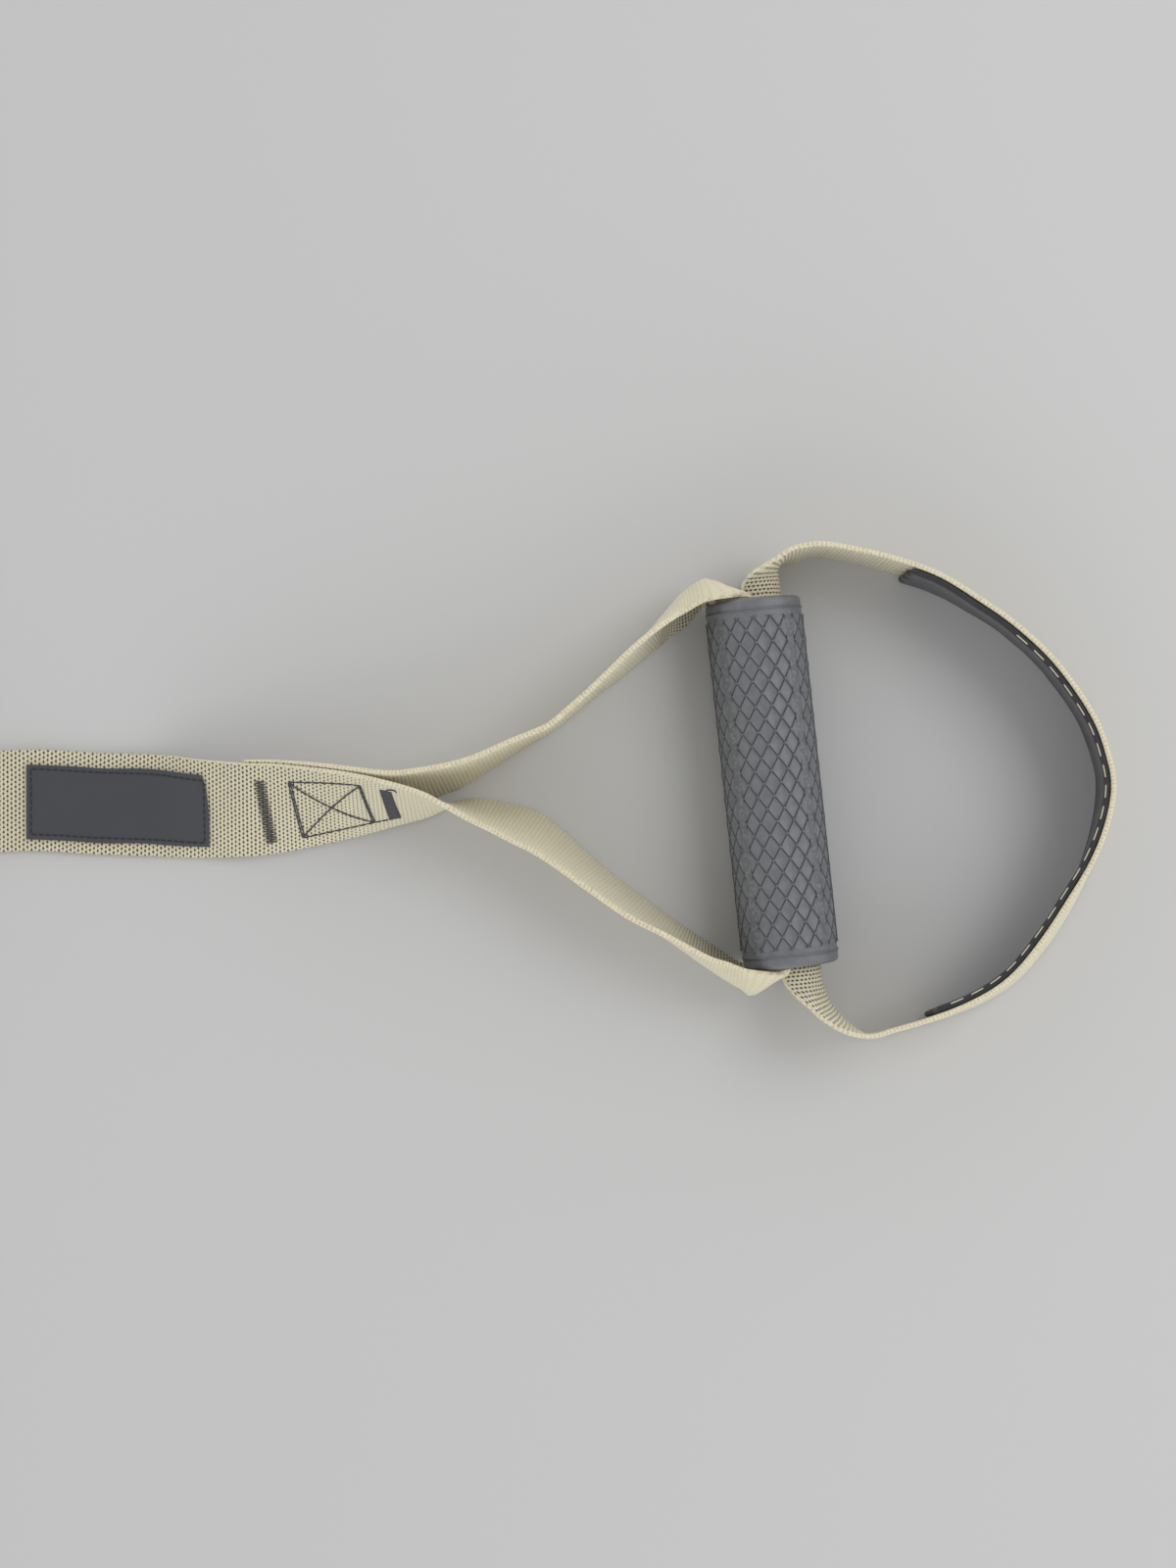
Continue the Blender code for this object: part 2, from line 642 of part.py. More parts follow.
def close_sleeve(bm):
    """Extrude both open ends over bead and rim into the bore, and bridge them there."""
    rim = (BASE_RADIUS - BORE_RADIUS) / 2
    bead = HALF_GRIP - BEAD_INSET
    profile = [
        (bead - BEAD_HEIGHT * 2, BASE_RADIUS),
        (bead, BASE_RADIUS + BEAD_HEIGHT),
        (bead + BEAD_HEIGHT * 2, BASE_RADIUS),
    ]
    for angle in (0, 30, 60, 90, 120, 150, 180):
        turn = math.radians(angle)
        profile.append((HALF_GRIP - rim + rim * math.sin(turn), BASE_RADIUS - rim + rim * math.cos(turn)))
    lip = HALF_GRIP - rim * 1.6
    profile += [(lip, BORE_RADIUS), (lip, SLEEVE_BORE)]
    loops = []
    for end in (1, -1):
        edges = [edge for edge in bm.edges if edge.is_boundary and edge.verts[0].co.y * end > 0]
        for along, radius in profile:
            made = bmesh.ops.extrude_edge_only(bm, edges=edges)["geom"]
            edges = [item for item in made if isinstance(item, bmesh.types.BMEdge)]
            for vert in {vert for edge in edges for vert in edge.verts}:
                across = Vector((vert.co.x, 0, vert.co.z)).normalized() * radius
                vert.co = Vector((across.x, along * end, across.z))
        loops += edges
    bmesh.ops.bridge_loops(bm, edges=loops)


def build_grip_tube():
    """Hard tube inside the sleeve, between the sleeve's two lips."""
    rim = (BASE_RADIUS - BORE_RADIUS) / 2
    half = HALF_GRIP - rim * 1.6 - CLEARANCE
    return turned("grip_tube", [(-half, BORE_RADIUS), (-half, TUBE_RADIUS), (half, TUBE_RADIUS),
                                (half, BORE_RADIUS)], 32, material("tube", (0.03, 0.03, 0.03), 0.5))


def turned(name, profile, segments, finish, closed=True):
    """Revolve a profile of (along, radius) about Y. A closed profile makes a ring, others start on the axis."""
    bm = bmesh.new()
    verts = [bm.verts.new((radius, along, 0)) for along, radius in profile]
    edges = [bm.edges.new(pair) for pair in zip(verts, verts[1:])]
    if closed:
        edges.append(bm.edges.new((verts[-1], verts[0])))
    bmesh.ops.spin(bm, geom=verts + edges, cent=(0, 0, 0), axis=(0, 1, 0), angle=2 * math.pi,
                   steps=segments, use_merge=True)
    bmesh.ops.remove_doubles(bm, verts=bm.verts[:], dist=CLEARANCE / 100)
    return add_object(name, bm, finish)


def build_grip():
    """Sleeve and tube, drawn along Y and set on the grip's axis by an empty."""
    empty = bpy.data.objects.new("grip_axis", None)
    bpy.context.collection.objects.link(empty)
    empty.location = GRIP_CENTRE
    empty.rotation_euler.z = GRIP_TILT
    for item in (build_sleeve(), build_grip_tube()):
        item.parent = empty
    return empty


# The folded length and the straight tail, in the plane of the strap's line
def line_y():
    return STRAP_ROUTE_SHARES[0][1] * ARM_LENGTH


def flat_band(name, path, width, finish, across=1):
    """Webbing whose width lies along Y and whose middle follows a path of (x, z) places."""
    bm = bmesh.new()
    bmesh.ops.create_grid(bm, x_segments=len(path) - 1, y_segments=across, size=1)
    for vert in bm.verts:
        x, z = path[round((vert.co.x + 1) / 2 * (len(path) - 1))]
        vert.co = Vector((x, line_y() + vert.co.y * width / 2, z))
    strip = add_object(name, bm, finish)
    solid = strip.modifiers.new("thickness", "SOLIDIFY")
    solid.thickness = WEBBING_THICKNESS
    solid.offset = 0
    solid.use_even_offset = True
    return strip


def hank_levels():
    base = TIE_THICKNESS + CLEARANCE + HALF_THICKNESS
    pitch = WEBBING_THICKNESS + HANK_GAP
    return [base + pitch * k for k in range(HANK_LAYERS)]


def hank_path():
    """Middle line of the folded strap: runs on top of each other, joined by round folds."""
    right = -STRAP_VISIBLE - HANK_STANDOFF
    left = right - HANK_RUN
    levels = hank_levels()
    fold = (levels[1] - levels[0]) / 2
    wander_shares = (0.0, 0.5, -0.4, 0.7, -0.2, 0.3, -0.6, 0.4, 0.0)
    path = [(right, levels[0])]
    for k in range(HANK_LAYERS - 1):
        leftward = k % 2 == 0
        turn_x = (left if leftward else right) + wander_shares[k] * WEBBING_THICKNESS
        side = -1 if leftward else 1
        path.append(((right + left) / 2, levels[k]))
        for step in range(7):
            angle = -math.pi / 2 + math.pi * step / 6
            path.append((turn_x + side * fold * math.cos(angle), levels[k] + fold + fold * math.sin(angle)))
    path.append(((right + left) / 2, levels[-1]))
    path.append((left - fold, levels[-1]))
    return path


def least_gap(path):
    """Least distance between two stretches of the folded strap, less its thickness."""
    dense = []
    for (ax, az), (bx, bz) in zip(path, path[1:]):
        count = max(1, int(math.hypot(bx - ax, bz - az) / HALF_THICKNESS))
        dense += [(ax + (bx - ax) * i / count, az + (bz - az) * i / count) for i in range(count)]
    apart = 6
    best = HANK_RUN
    for i, (ax, az) in enumerate(dense):
        for bx, bz in dense[i + apart:]:
            best = min(best, math.hypot(bx - ax, bz - az))
    return best - WEBBING_THICKNESS


def ramp(start, end, steps):
    """Soft S from one (x, z) place to another."""
    places = []
    for i in range(steps + 1):
        t = i / steps
        places.append((start[0] + (end[0] - start[0]) * t, start[1] + (end[1] - start[1]) * t * t * (3 - 2 * t)))
    return places


def tail_level():
    """Height of the strap's middle where it runs straight through the buckle."""
    return 2 * LAYER_STEP + PLATE_THICKNESS + CLEARANCE * 2 + HALF_THICKNESS


def build_hank():
    path = hank_path()
    strap_end = (-STRAP_VISIBLE - CLEARANCE, HALF_THICKNESS)
    path = ramp(strap_end, path[0], 6)[:-1] + path
    print("strap_hank least gap to itself, mm:", round(least_gap(path) * 1000, 3))
    finish = webbing_material("webbing")
    flat_band("strap_hank", path, WEBBING_WIDTH, finish)
    start = (path[-1][0] - CLEARANCE, path[-1][1])
    level_start = (start[0] - BUCKLE_STANDOFF + TRAVEL_IN, tail_level())
    tail_end = buckle_centre() - BUCKLE_LENGTH / 2 - TAIL_LENGTH
    tail = ramp(start, level_start, 8) + [(tail_end, tail_level())]
    fold = LAYER_STEP / 2
    for step in range(1, 7):
        angle = -math.pi / 2 + math.pi * step / 6
        tail.append((tail_end - fold * math.cos(angle), tail_level() + fold + fold * math.sin(angle)))
    tail.append((tail_end + TAIL_FOLD, tail_level() + LAYER_STEP))
    flat_band("strap_tail", tail, WEBBING_WIDTH, finish)
    build_tie()


def rounded_prism(name, half_y, low_z, high_z, radius, x_low, x_high, finish=None):
    """Rounded rectangle in the YZ plane, extruded along X."""
    bm = bmesh.new()
    corners = [(-half_y, low_z), (half_y, low_z), (half_y, high_z), (-half_y, high_z)]
    face = bm.faces.new([bm.verts.new((x_low, line_y() + y, z)) for y, z in corners])
    made = bmesh.ops.extrude_face_region(bm, geom=[face])["geom"]
    moved = [item for item in made if isinstance(item, bmesh.types.BMVert)]
    bmesh.ops.translate(bm, verts=moved, vec=(x_high - x_low, 0, 0))
    long_edges = [edge for edge in bm.edges if abs(edge.verts[0].co.x - edge.verts[1].co.x) > CLEARANCE]
    bmesh.ops.bevel(bm, geom=long_edges, offset=radius, segments=3, profile=0.5, affect="EDGES", material=-1)
    if finish is None:
        bmesh.ops.recalc_face_normals(bm, faces=bm.faces[:])
        return new_guide(name, bm)
    return add_object(name, bm, finish)


def build_tie():
    """Band round the folded strap."""
    middle = -STRAP_VISIBLE - HANK_STANDOFF - HANK_RUN / 2
    top = hank_levels()[-1] + HALF_THICKNESS + CLEARANCE
    inner_half = HALF_WIDTH + CLEARANCE
    wall = TIE_THICKNESS
    band = rounded_prism("hank_tie", inner_half + wall, 0, top + wall, wall * 1.6, middle - TIE_WIDTH / 2,
                         middle + TIE_WIDTH / 2, material("tie", (0.03, 0.03, 0.035), 0.8))
    room = rounded_prism("hank_tie_room", inner_half, wall, top, wall * 0.4, middle - TIE_WIDTH,
                         middle + TIE_WIDTH)
    boolean(band, room, "DIFFERENCE")
    return band


# The length adjuster
def buckle_centre():
    return -STRAP_VISIBLE - HANK_STANDOFF - HANK_RUN - BUCKLE_STANDOFF - BUCKLE_LENGTH / 2


def cam_centre():
    """The cam's pin in the buckle's own frame: x from its middle and z."""
    teeth_bottom = tail_level() + HALF_THICKNESS + CLEARANCE
    return (0.04 * BUCKLE_LENGTH, teeth_bottom + CAM_BODY_RADIUS + CAM_TOOTH_HEIGHT)


def profile_prism(bm, outline, y_low, y_high):
    """Extrude an XZ outline along Y into a bmesh."""
    face = bm.faces.new([bm.verts.new((x, y_low, z)) for x, z in outline])
    made = bmesh.ops.extrude_face_region(bm, geom=[face])["geom"]
    moved = [item for item in made if isinstance(item, bmesh.types.BMVert)]
    bmesh.ops.translate(bm, verts=moved, vec=(0, y_high - y_low, 0))


def ear_outline():
    """Side wall: a foot line, rounded shoulders over the pin, low noses at both ends."""
    half = BUCKLE_LENGTH / 2
    nose = EAR_HEIGHT * 0.42
    crown = half * 0.42
    points = [(-half, 0), (half, 0), (half, nose)]
    for step in range(7):
        angle = math.radians(20 + 140 * step / 6)
        points.append((cam_centre()[0] + crown * math.cos(angle),
                       EAR_HEIGHT - crown * 0.8 + crown * 0.8 * math.sin(angle)))
    points.append((-half, nose))
    return points


def build_buckle_frame():
    """Pressed frame: raised plate under the strap, low bar for the anchor webbing, two side walls."""
    half = BUCKLE_LENGTH / 2
    inner = HALF_WIDTH + BUCKLE_WALL * 0.7
    outer = inner + BUCKLE_WALL
    plate_top = tail_level() - HALF_THICKNESS - CLEARANCE
    bar_low = WEBBING_THICKNESS + CLEARANCE
    bar_width = half * 0.22
    plate_start = -half * 0.5
    finish = steel_material("steel")
    bm = bmesh.new()
    profile_prism(bm, ear_outline(), -outer, -inner)
    frame = add_object("buckle_frame", bm, finish)
    bm = bmesh.new()
    profile_prism(bm, ear_outline(), inner, outer)
    boolean(frame, new_guide("buckle_wall", bm), "UNION")
    sink = BUCKLE_WALL / 2
    bm = bmesh.new()
    profile_prism(bm, [(plate_start, plate_top - PLATE_THICKNESS), (half - sink, plate_top - PLATE_THICKNESS),
                       (half - sink, plate_top), (plate_start, plate_top)], -inner - sink, inner + sink)
    boolean(frame, new_guide("buckle_plate", bm), "UNION")
    bm = bmesh.new()
    bar_end = -half + sink
    profile_prism(bm, [(bar_end, bar_low), (bar_end + bar_width, bar_low),
                       (bar_end + bar_width, bar_low + PLATE_THICKNESS), (bar_end, bar_low + PLATE_THICKNESS)],
                  -inner - sink, inner + sink)
    boolean(frame, new_guide("buckle_bar", bm), "UNION")
    pin_x, pin_z = cam_centre()
    hole = turned("buckle_pin_hole", [(-outer - OVERRUN, 0), (-outer - OVERRUN, CAM_PIN_RADIUS + CLEARANCE),
                                      (outer + OVERRUN, CAM_PIN_RADIUS + CLEARANCE), (outer + OVERRUN, 0)],
                  20, finish, closed=False)
    hole.location = (pin_x, 0, pin_z)
    boolean(frame, hole, "DIFFERENCE")
    return frame


def cam_outline():
    """Round body with a sector of teeth below and a thumb lever that rises to the front."""
    body = CAM_BODY_RADIUS
    points = []
    teeth = 5
    for i in range(2 * teeth + 1):
        angle = math.radians(-140 + 80 * i / (2 * teeth))
        radius = body + (CAM_TOOTH_HEIGHT if i % 2 else CAM_TOOTH_HEIGHT * 0.25)
        points.append((radius * math.cos(angle), radius * math.sin(angle)))
    rise = math.radians(14)
    run = Vector((math.cos(rise), math.sin(rise)))
    up = Vector((-run.y, run.x)) * LEVER_THICKNESS
    root = Vector((body * math.cos(math.radians(-28)), body * math.sin(math.radians(-28))))
    tip = root + run * (LEVER_LENGTH * 0.78)
    curl = tip + Vector((math.cos(rise * 2.6), math.sin(rise * 2.6))) * (LEVER_LENGTH * 0.22)
    points += [tuple(root), tuple(tip), tuple(curl), tuple(curl + up), tuple(tip + up), tuple(root + up * 1.4)]
    for angle in (50, 80, 110, 140, 170, 200):
        turn = math.radians(angle)
        points.append((body * math.cos(turn), body * math.sin(turn)))
    return points


def build_cam():
    """Cam with thumb lever, its bore, and the room for the spring at its middle."""
    half = HALF_WIDTH + BUCKLE_WALL * 0.7 - CLEARANCE * 2
    bm = bmesh.new()
    profile_prism(bm, cam_outline(), -half, half)
    cam = add_object("buckle_cam", bm, steel_material("cam_steel"))
    bore = turned("cam_bore", [(-half - OVERRUN, 0), (-half - OVERRUN, CAM_PIN_RADIUS + CLEARANCE),
                               (half + OVERRUN, CAM_PIN_RADIUS + CLEARANCE), (half + OVERRUN, 0)],
                  20, steel_material("cam_steel"), closed=False)
    boolean(cam, bore, "DIFFERENCE")
    room_half = SPRING_SPACE / 2
    reach = CAM_BODY_RADIUS + CAM_TOOTH_HEIGHT + CLEARANCE
    room = turned("cam_spring_room", [(-room_half, 0), (-room_half, reach), (room_half, reach), (room_half, 0)],
                  20, steel_material("cam_steel"), closed=False)
    boolean(cam, room, "DIFFERENCE")
    return [cam, bore, room]


def build_cam_pin():
    """Rivet with a head outside each wall of the frame."""
    outer = HALF_WIDTH + BUCKLE_WALL * 1.7 + CLEARANCE
    head = CAM_PIN_RADIUS * 0.5
    wide = CAM_PIN_RADIUS * 1.6
    profile = [(-outer - head, 0), (-outer - head, wide * 0.8), (-outer - head / 2, wide), (-outer, wide),
               (-outer, CAM_PIN_RADIUS), (outer, CAM_PIN_RADIUS), (outer, wide), (outer + head / 2, wide),
               (outer + head, wide * 0.8), (outer + head, 0)]
    return turned("cam_pin", profile, 20, steel_material("pin_steel"), closed=False)


def coil(name, radius, wire, length, turns, finish, sides=2):
    """Coil spring about Y as an open curve with a round section and closed ends."""
    curve = bpy.data.curves.new(name, "CURVE")
    curve.dimensions = "3D"
    curve.bevel_depth = wire / 2
    curve.bevel_resolution = sides
    curve.use_fill_caps = True
    spline = curve.splines.new("POLY")
    count = turns * 10 + 1
    spline.points.add(count - 1)
    for i, point in enumerate(spline.points):
        angle = 2 * math.pi * turns * i / (count - 1)
        along = -length / 2 + length * i / (count - 1)
        point.co = (radius * math.cos(angle), along, radius * math.sin(angle), 1)
    item = bpy.data.objects.new(name, curve)
    bpy.context.collection.objects.link(item)
    item.data.materials.append(finish)
    return item


def build_buckle():
    """Frame, cam, rivet and spring, each placed in the buckle's frame."""
    empty = bpy.data.objects.new("buckle_place", None)
    bpy.context.collection.objects.link(empty)
    empty.location = (buckle_centre(), line_y(), 0)
    pivot = bpy.data.objects.new("cam_axis", None)
    bpy.context.collection.objects.link(pivot)
    pivot.parent = empty
    pivot.location = (cam_centre()[0], 0, cam_centre()[1])
    frame = build_buckle_frame()
    frame.parent = empty
    for change in frame.modifiers:
        change.object.parent = empty
    for item in build_cam():
        item.parent = pivot
    build_cam_pin().parent = pivot
    wire_room = SPRING_SPACE - SPRING_WIRE - CLEARANCE * 2
    spring = coil("cam_spring", CAM_PIN_RADIUS + CLEARANCE + SPRING_WIRE / 2, SPRING_WIRE, wire_room, 4,
                  steel_material("spring_steel"), 1)
    spring.parent = pivot
    return empty


# The anchor end
def bow_in_eye():
    """How far the bow's bar reaches each way inside the eye, and how far it is moved to lie centred."""
    slope = math.asin(ANCHOR_WIDTH / 2 / BOW_RADIUS)
    sagitta = BOW_RADIUS * (1 - math.cos(slope))
    near, far = BAR_RADIUS, sagitta + BAR_RADIUS / math.cos(slope)
    return (near + far) / 2, (far - near) / 2


def eye_radius():
    """Middle radius of the webbing eye round the carabiner's bow."""
    return bow_in_eye()[0] + CLEARANCE * 1.5 + HALF_THICKNESS


def eye_centre():
    bar_x = buckle_centre() - BUCKLE_LENGTH / 2 + BUCKLE_WALL
    return Vector((bar_x - ANCHOR_LENGTH, line_y(), HALF_THICKNESS + eye_radius()))


def build_anchor_webbing():
    """Closed loop of webbing: round the buckle's bar, two layers sewn flat, then an eye."""
    half = BUCKLE_LENGTH / 2
    bar_middle = buckle_centre() - half + BUCKLE_WALL / 2 + half * 0.11
    fold = PLATE_THICKNESS / 2 + CLEARANCE + HALF_THICKNESS
    bar_z = WEBBING_THICKNESS + CLEARANCE + PLATE_THICKNESS / 2
    reach = half * 0.11
    path = []
    for step in range(7):
        angle = -math.pi / 2 + math.pi * step / 6
        path.append((bar_middle + reach + fold * math.cos(angle), bar_z + fold * math.sin(angle)))
    path.append((bar_middle - reach * 2, bar_z + fold))
    top = HALF_THICKNESS + LAYER_STEP
    path += ramp((bar_middle - reach * 3, bar_z + fold), (bar_middle - reach * 6, top), 4)[1:]
    eye = eye_centre()
    radius = eye_radius()
    path.append((eye.x + radius * 3.4, top))
    path.append((eye.x + radius * 2.4, top + radius * 0.08))
    path.append((eye.x + radius * 1.5, top + radius * 0.55))
    for step in range(12):
        angle = math.radians(62 + 208 * step / 11)
        path.append((eye.x + radius * math.cos(angle), eye.z + radius * math.sin(angle)))
    path.append((bar_middle - reach * 4, HALF_THICKNESS))
    bm = bmesh.new()
    loop = []
    for x, z in path:
        loop.append(bm.verts.new((x, line_y() - ANCHOR_WIDTH / 2, z)))
    edges = [bm.edges.new(pair) for pair in zip(loop, loop[1:] + loop[:1])]
    made = bmesh.ops.extrude_edge_only(bm, edges=edges)["geom"]
    moved = [item for item in made if isinstance(item, bmesh.types.BMVert)]
    bmesh.ops.translate(bm, verts=moved, vec=(0, ANCHOR_WIDTH, 0))
    strip = add_object("anchor_webbing", bm, webbing_material("anchor_webbing"))
    solid = strip.modifiers.new("thickness", "SOLIDIFY")
    solid.thickness = WEBBING_THICKNESS
    solid.offset = 0
    solid.use_even_offset = True
    return strip


def carabiner_line():
    """Middle line of the ring in its own plane: wide bow at the eye, narrow hook at the far end.

    The line starts above the gate's pivot, goes round the bow, down the spine and round the hook.
    """
    bow_x, hook_x = -BOW_RADIUS, -CARABINER_LENGTH + BAR_RADIUS * 2 + HOOK_RADIUS
    slope = math.asin((BOW_RADIUS - HOOK_RADIUS) / (bow_x - hook_x))
    start, end = math.pi / 2 + slope, -math.pi / 2 - slope
    points = []
    for step in range(15):
        angle = start + (end - start) * step / 14
        points.append((bow_x + BOW_RADIUS * math.cos(angle), BOW_RADIUS * math.sin(angle)))
    for step in range(10):
        angle = end - (2 * math.pi - (start - end)) * step / 9
        points.append((hook_x + HOOK_RADIUS * math.cos(angle), HOOK_RADIUS * math.sin(angle)))
    return points


def gate_ends():
    """Pivot and nose places of the gate on the straight side above the spine."""
    points = carabiner_line()
    pivot = Vector(points[0]).lerp(Vector(points[-1]), 0.16)
    nose = Vector(points[0]).lerp(Vector(points[-1]), 0.90)
    return pivot, nose


def tube_along(name, points, radius, finish, sides=3):
    curve = bpy.data.curves.new(name, "CURVE")
    curve.dimensions = "3D"
    curve.bevel_depth = radius
    curve.bevel_resolution = sides
    curve.use_fill_caps = True
    spline = curve.splines.new("POLY")
    spline.points.add(len(points) - 1)
    for point, (x, y) in zip(spline.points, points):
        point.co = (x, y, 0, 1)
    guide = bpy.data.objects.new(name + "_line", curve)
    bpy.context.collection.objects.link(guide)
    bpy.context.view_layer.update()
    mesh = bpy.data.meshes.new_from_object(guide.evaluated_get(bpy.context.evaluated_depsgraph_get()))
    bpy.data.objects.remove(guide)
    bm = bmesh.new()
    bm.from_mesh(mesh)
    bmesh.ops.remove_doubles(bm, verts=bm.verts[:], dist=CLEARANCE / 100)
    return add_object(name, bm, finish)


def block_guide(name, centre, size, turn):
    """Box guide at a place in the ring's plane, turned about its normal."""
    bm = bmesh.new()
    bmesh.ops.create_cube(bm, size=1)
    bmesh.ops.scale(bm, vec=size, verts=bm.verts)
    bmesh.ops.rotate(bm, matrix=Matrix.Rotation(turn, 3, "Z"), verts=bm.verts)
    bmesh.ops.translate(bm, vec=(centre[0], centre[1], 0), verts=bm.verts)
    return new_guide(name, bm)


def upright_guide(name, centre, radius, half, segments=16):
    """Round guide whose axis is normal to the ring's plane."""
    bm = bmesh.new()
    bmesh.ops.create_cone(bm, cap_ends=True, segments=segments, radius1=radius, radius2=radius, depth=half * 2)
    bmesh.ops.translate(bm, vec=(centre[0], centre[1], 0), verts=bm.verts)
    return new_guide(name, bm)


def build_carabiner():
    """Ring body with a flat tongue for the gate, the gate with its fork and bore, pin and spring."""
    place = bpy.data.objects.new("carabiner_swing", None)
    bpy.context.collection.objects.link(place)
    place.location = eye_centre()
    drop = eye_centre().z - BAR_RADIUS
    place.rotation_euler.y = -math.asin(drop / (CARABINER_LENGTH - BAR_RADIUS * 2))
    ring = bpy.data.objects.new("carabiner_ring", None)
    bpy.context.collection.objects.link(ring)
    ring.parent = place
    ring.location.x = bow_in_eye()[1]
    pivot, nose = gate_ends()
    run = (nose - pivot).normalized()
    turn = math.atan2(run.y, run.x)
    finish = material("alloy", (0.35, 0.36, 0.38), 0.35, 1.0)
    line = carabiner_line()
    tongue_half = BAR_RADIUS * 0.35
    start = pivot - run * (GATE_RADIUS * 1.25)
    body = tube_along("carabiner_body", [tuple(start)] + line + [tuple(nose + run * (BAR_RADIUS * 0.6))],
                      BAR_RADIUS, finish)
    tongue = block_guide("gate_tongue", tuple(pivot - run * (GATE_RADIUS * 0.5)),
                         (GATE_RADIUS * 3.0, GATE_RADIUS * 1.3, tongue_half * 2), turn)
    boolean(body, tongue, "UNION")
    boolean(body, upright_guide("gate_knuckle_hole", pivot, GATE_PIN_RADIUS + CLEARANCE, BAR_RADIUS), "DIFFERENCE")
    gate = tube_along("carabiner_gate", [tuple(pivot - run * (GATE_RADIUS * 0.85)),
                                         tuple(nose - run * CLEARANCE)], GATE_RADIUS,
                      material("gate_alloy", (0.50, 0.51, 0.53), 0.3, 1.0))
    fork = block_guide("gate_fork", tuple(pivot - run * (GATE_RADIUS * 0.2)),
                       (GATE_RADIUS * 4.6, GATE_RADIUS * 3, tongue_half * 2 + CLEARANCE * 2), turn)
    boolean(gate, fork, "DIFFERENCE")
    boolean(gate, upright_guide("gate_pin_hole", pivot, GATE_PIN_RADIUS + CLEARANCE, GATE_RADIUS * 2), "DIFFERENCE")
    half = GATE_SPRING_LENGTH / 2
    bore_radius = GATE_SPRING_RADIUS + GATE_SPRING_WIRE / 2 + CLEARANCE
    bore = turned("gate_bore", [(-half - GATE_RADIUS / 2, 0), (-half - GATE_RADIUS / 2, bore_radius),
                                (half + CLEARANCE, bore_radius), (half + CLEARANCE, 0)], 16, finish, closed=False)
    boolean(gate, bore, "DIFFERENCE")
    spring = coil("gate_spring", GATE_SPRING_RADIUS, GATE_SPRING_WIRE, GATE_SPRING_LENGTH - CLEARANCE * 2, 6,
                  steel_material("spring_steel"), 1)
    spring_place = pivot + run * (GATE_RADIUS * 2.2 + half)
    for item in (bore, spring):
        item.parent = ring
        item.location = (spring_place.x, spring_place.y, 0)
        item.rotation_euler.z = turn - math.pi / 2
    bm = bmesh.new()
    bmesh.ops.create_cone(bm, cap_ends=True, segments=16, radius1=GATE_PIN_RADIUS, radius2=GATE_PIN_RADIUS,
                          depth=GATE_RADIUS * 1.9)
    bmesh.ops.translate(bm, vec=(pivot.x, pivot.y, 0), verts=bm.verts)
    pin = add_object("gate_pin", bm, steel_material("pin_steel"))
    for item in (body, gate, pin):
        item.parent = ring
        for change in item.modifiers:
            change.object.parent = ring
    bpy.context.view_layer.update()
    world = ring.matrix_world @ Vector((pivot.x, pivot.y, 0))
    return world, (ring.matrix_world.to_3x3() @ Vector((0, 0, 1)))


def stand_on_origin():
    """Move the unit so that the origin is the bottom centre of its box."""
    bpy.context.view_layer.update()
    graph = bpy.context.evaluated_depsgraph_get()
    low, high = Vector((1e9, 1e9, 1e9)), Vector((-1e9, -1e9, -1e9))
    for item in bpy.context.scene.objects:
        if item.type == "EMPTY" or item.hide_render:
            continue
        shape = item.evaluated_get(graph)
        mesh = shape.to_mesh()
        for vert in mesh.vertices:
            place = item.matrix_world @ vert.co
            for k in range(3):
                low[k] = min(low[k], place[k])
                high[k] = max(high[k], place[k])
        shape.to_mesh_clear()
    shift = -Vector(((low.x + high.x) / 2, (low.y + high.y) / 2, low.z))
    for item in bpy.context.scene.objects:
        if item.parent is None:
            item.location = item.location + shift
    print("size, mm:", [round(value * 1000, 2) for value in high - low])
    return shift


def main():
    clear_scene()
    band = build_webbing()
    build_label(band)
    build_foot_loop()
    build_grip()
    build_hank()
    build_buckle()
    build_anchor_webbing()
    gate_place, gate_axis = build_carabiner()
    shift = stand_on_origin()
    joints = {
        "shift": shift,
        "grip_centre": GRIP_CENTRE + shift,
        "cam_axis": Vector((buckle_centre() + cam_centre()[0], line_y(), cam_centre()[1])) + shift,
        "eye": eye_centre() + shift,
        "gate": gate_place + shift,
        "gate_axis": gate_axis,
    }
    for name, place in joints.items():
        print(name, [round(value, 5) for value in place])


main()
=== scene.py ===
import json
import math

import bmesh
import bpy
from mathutils import Matrix, Vector
from mathutils.geometry import intersect_point_line


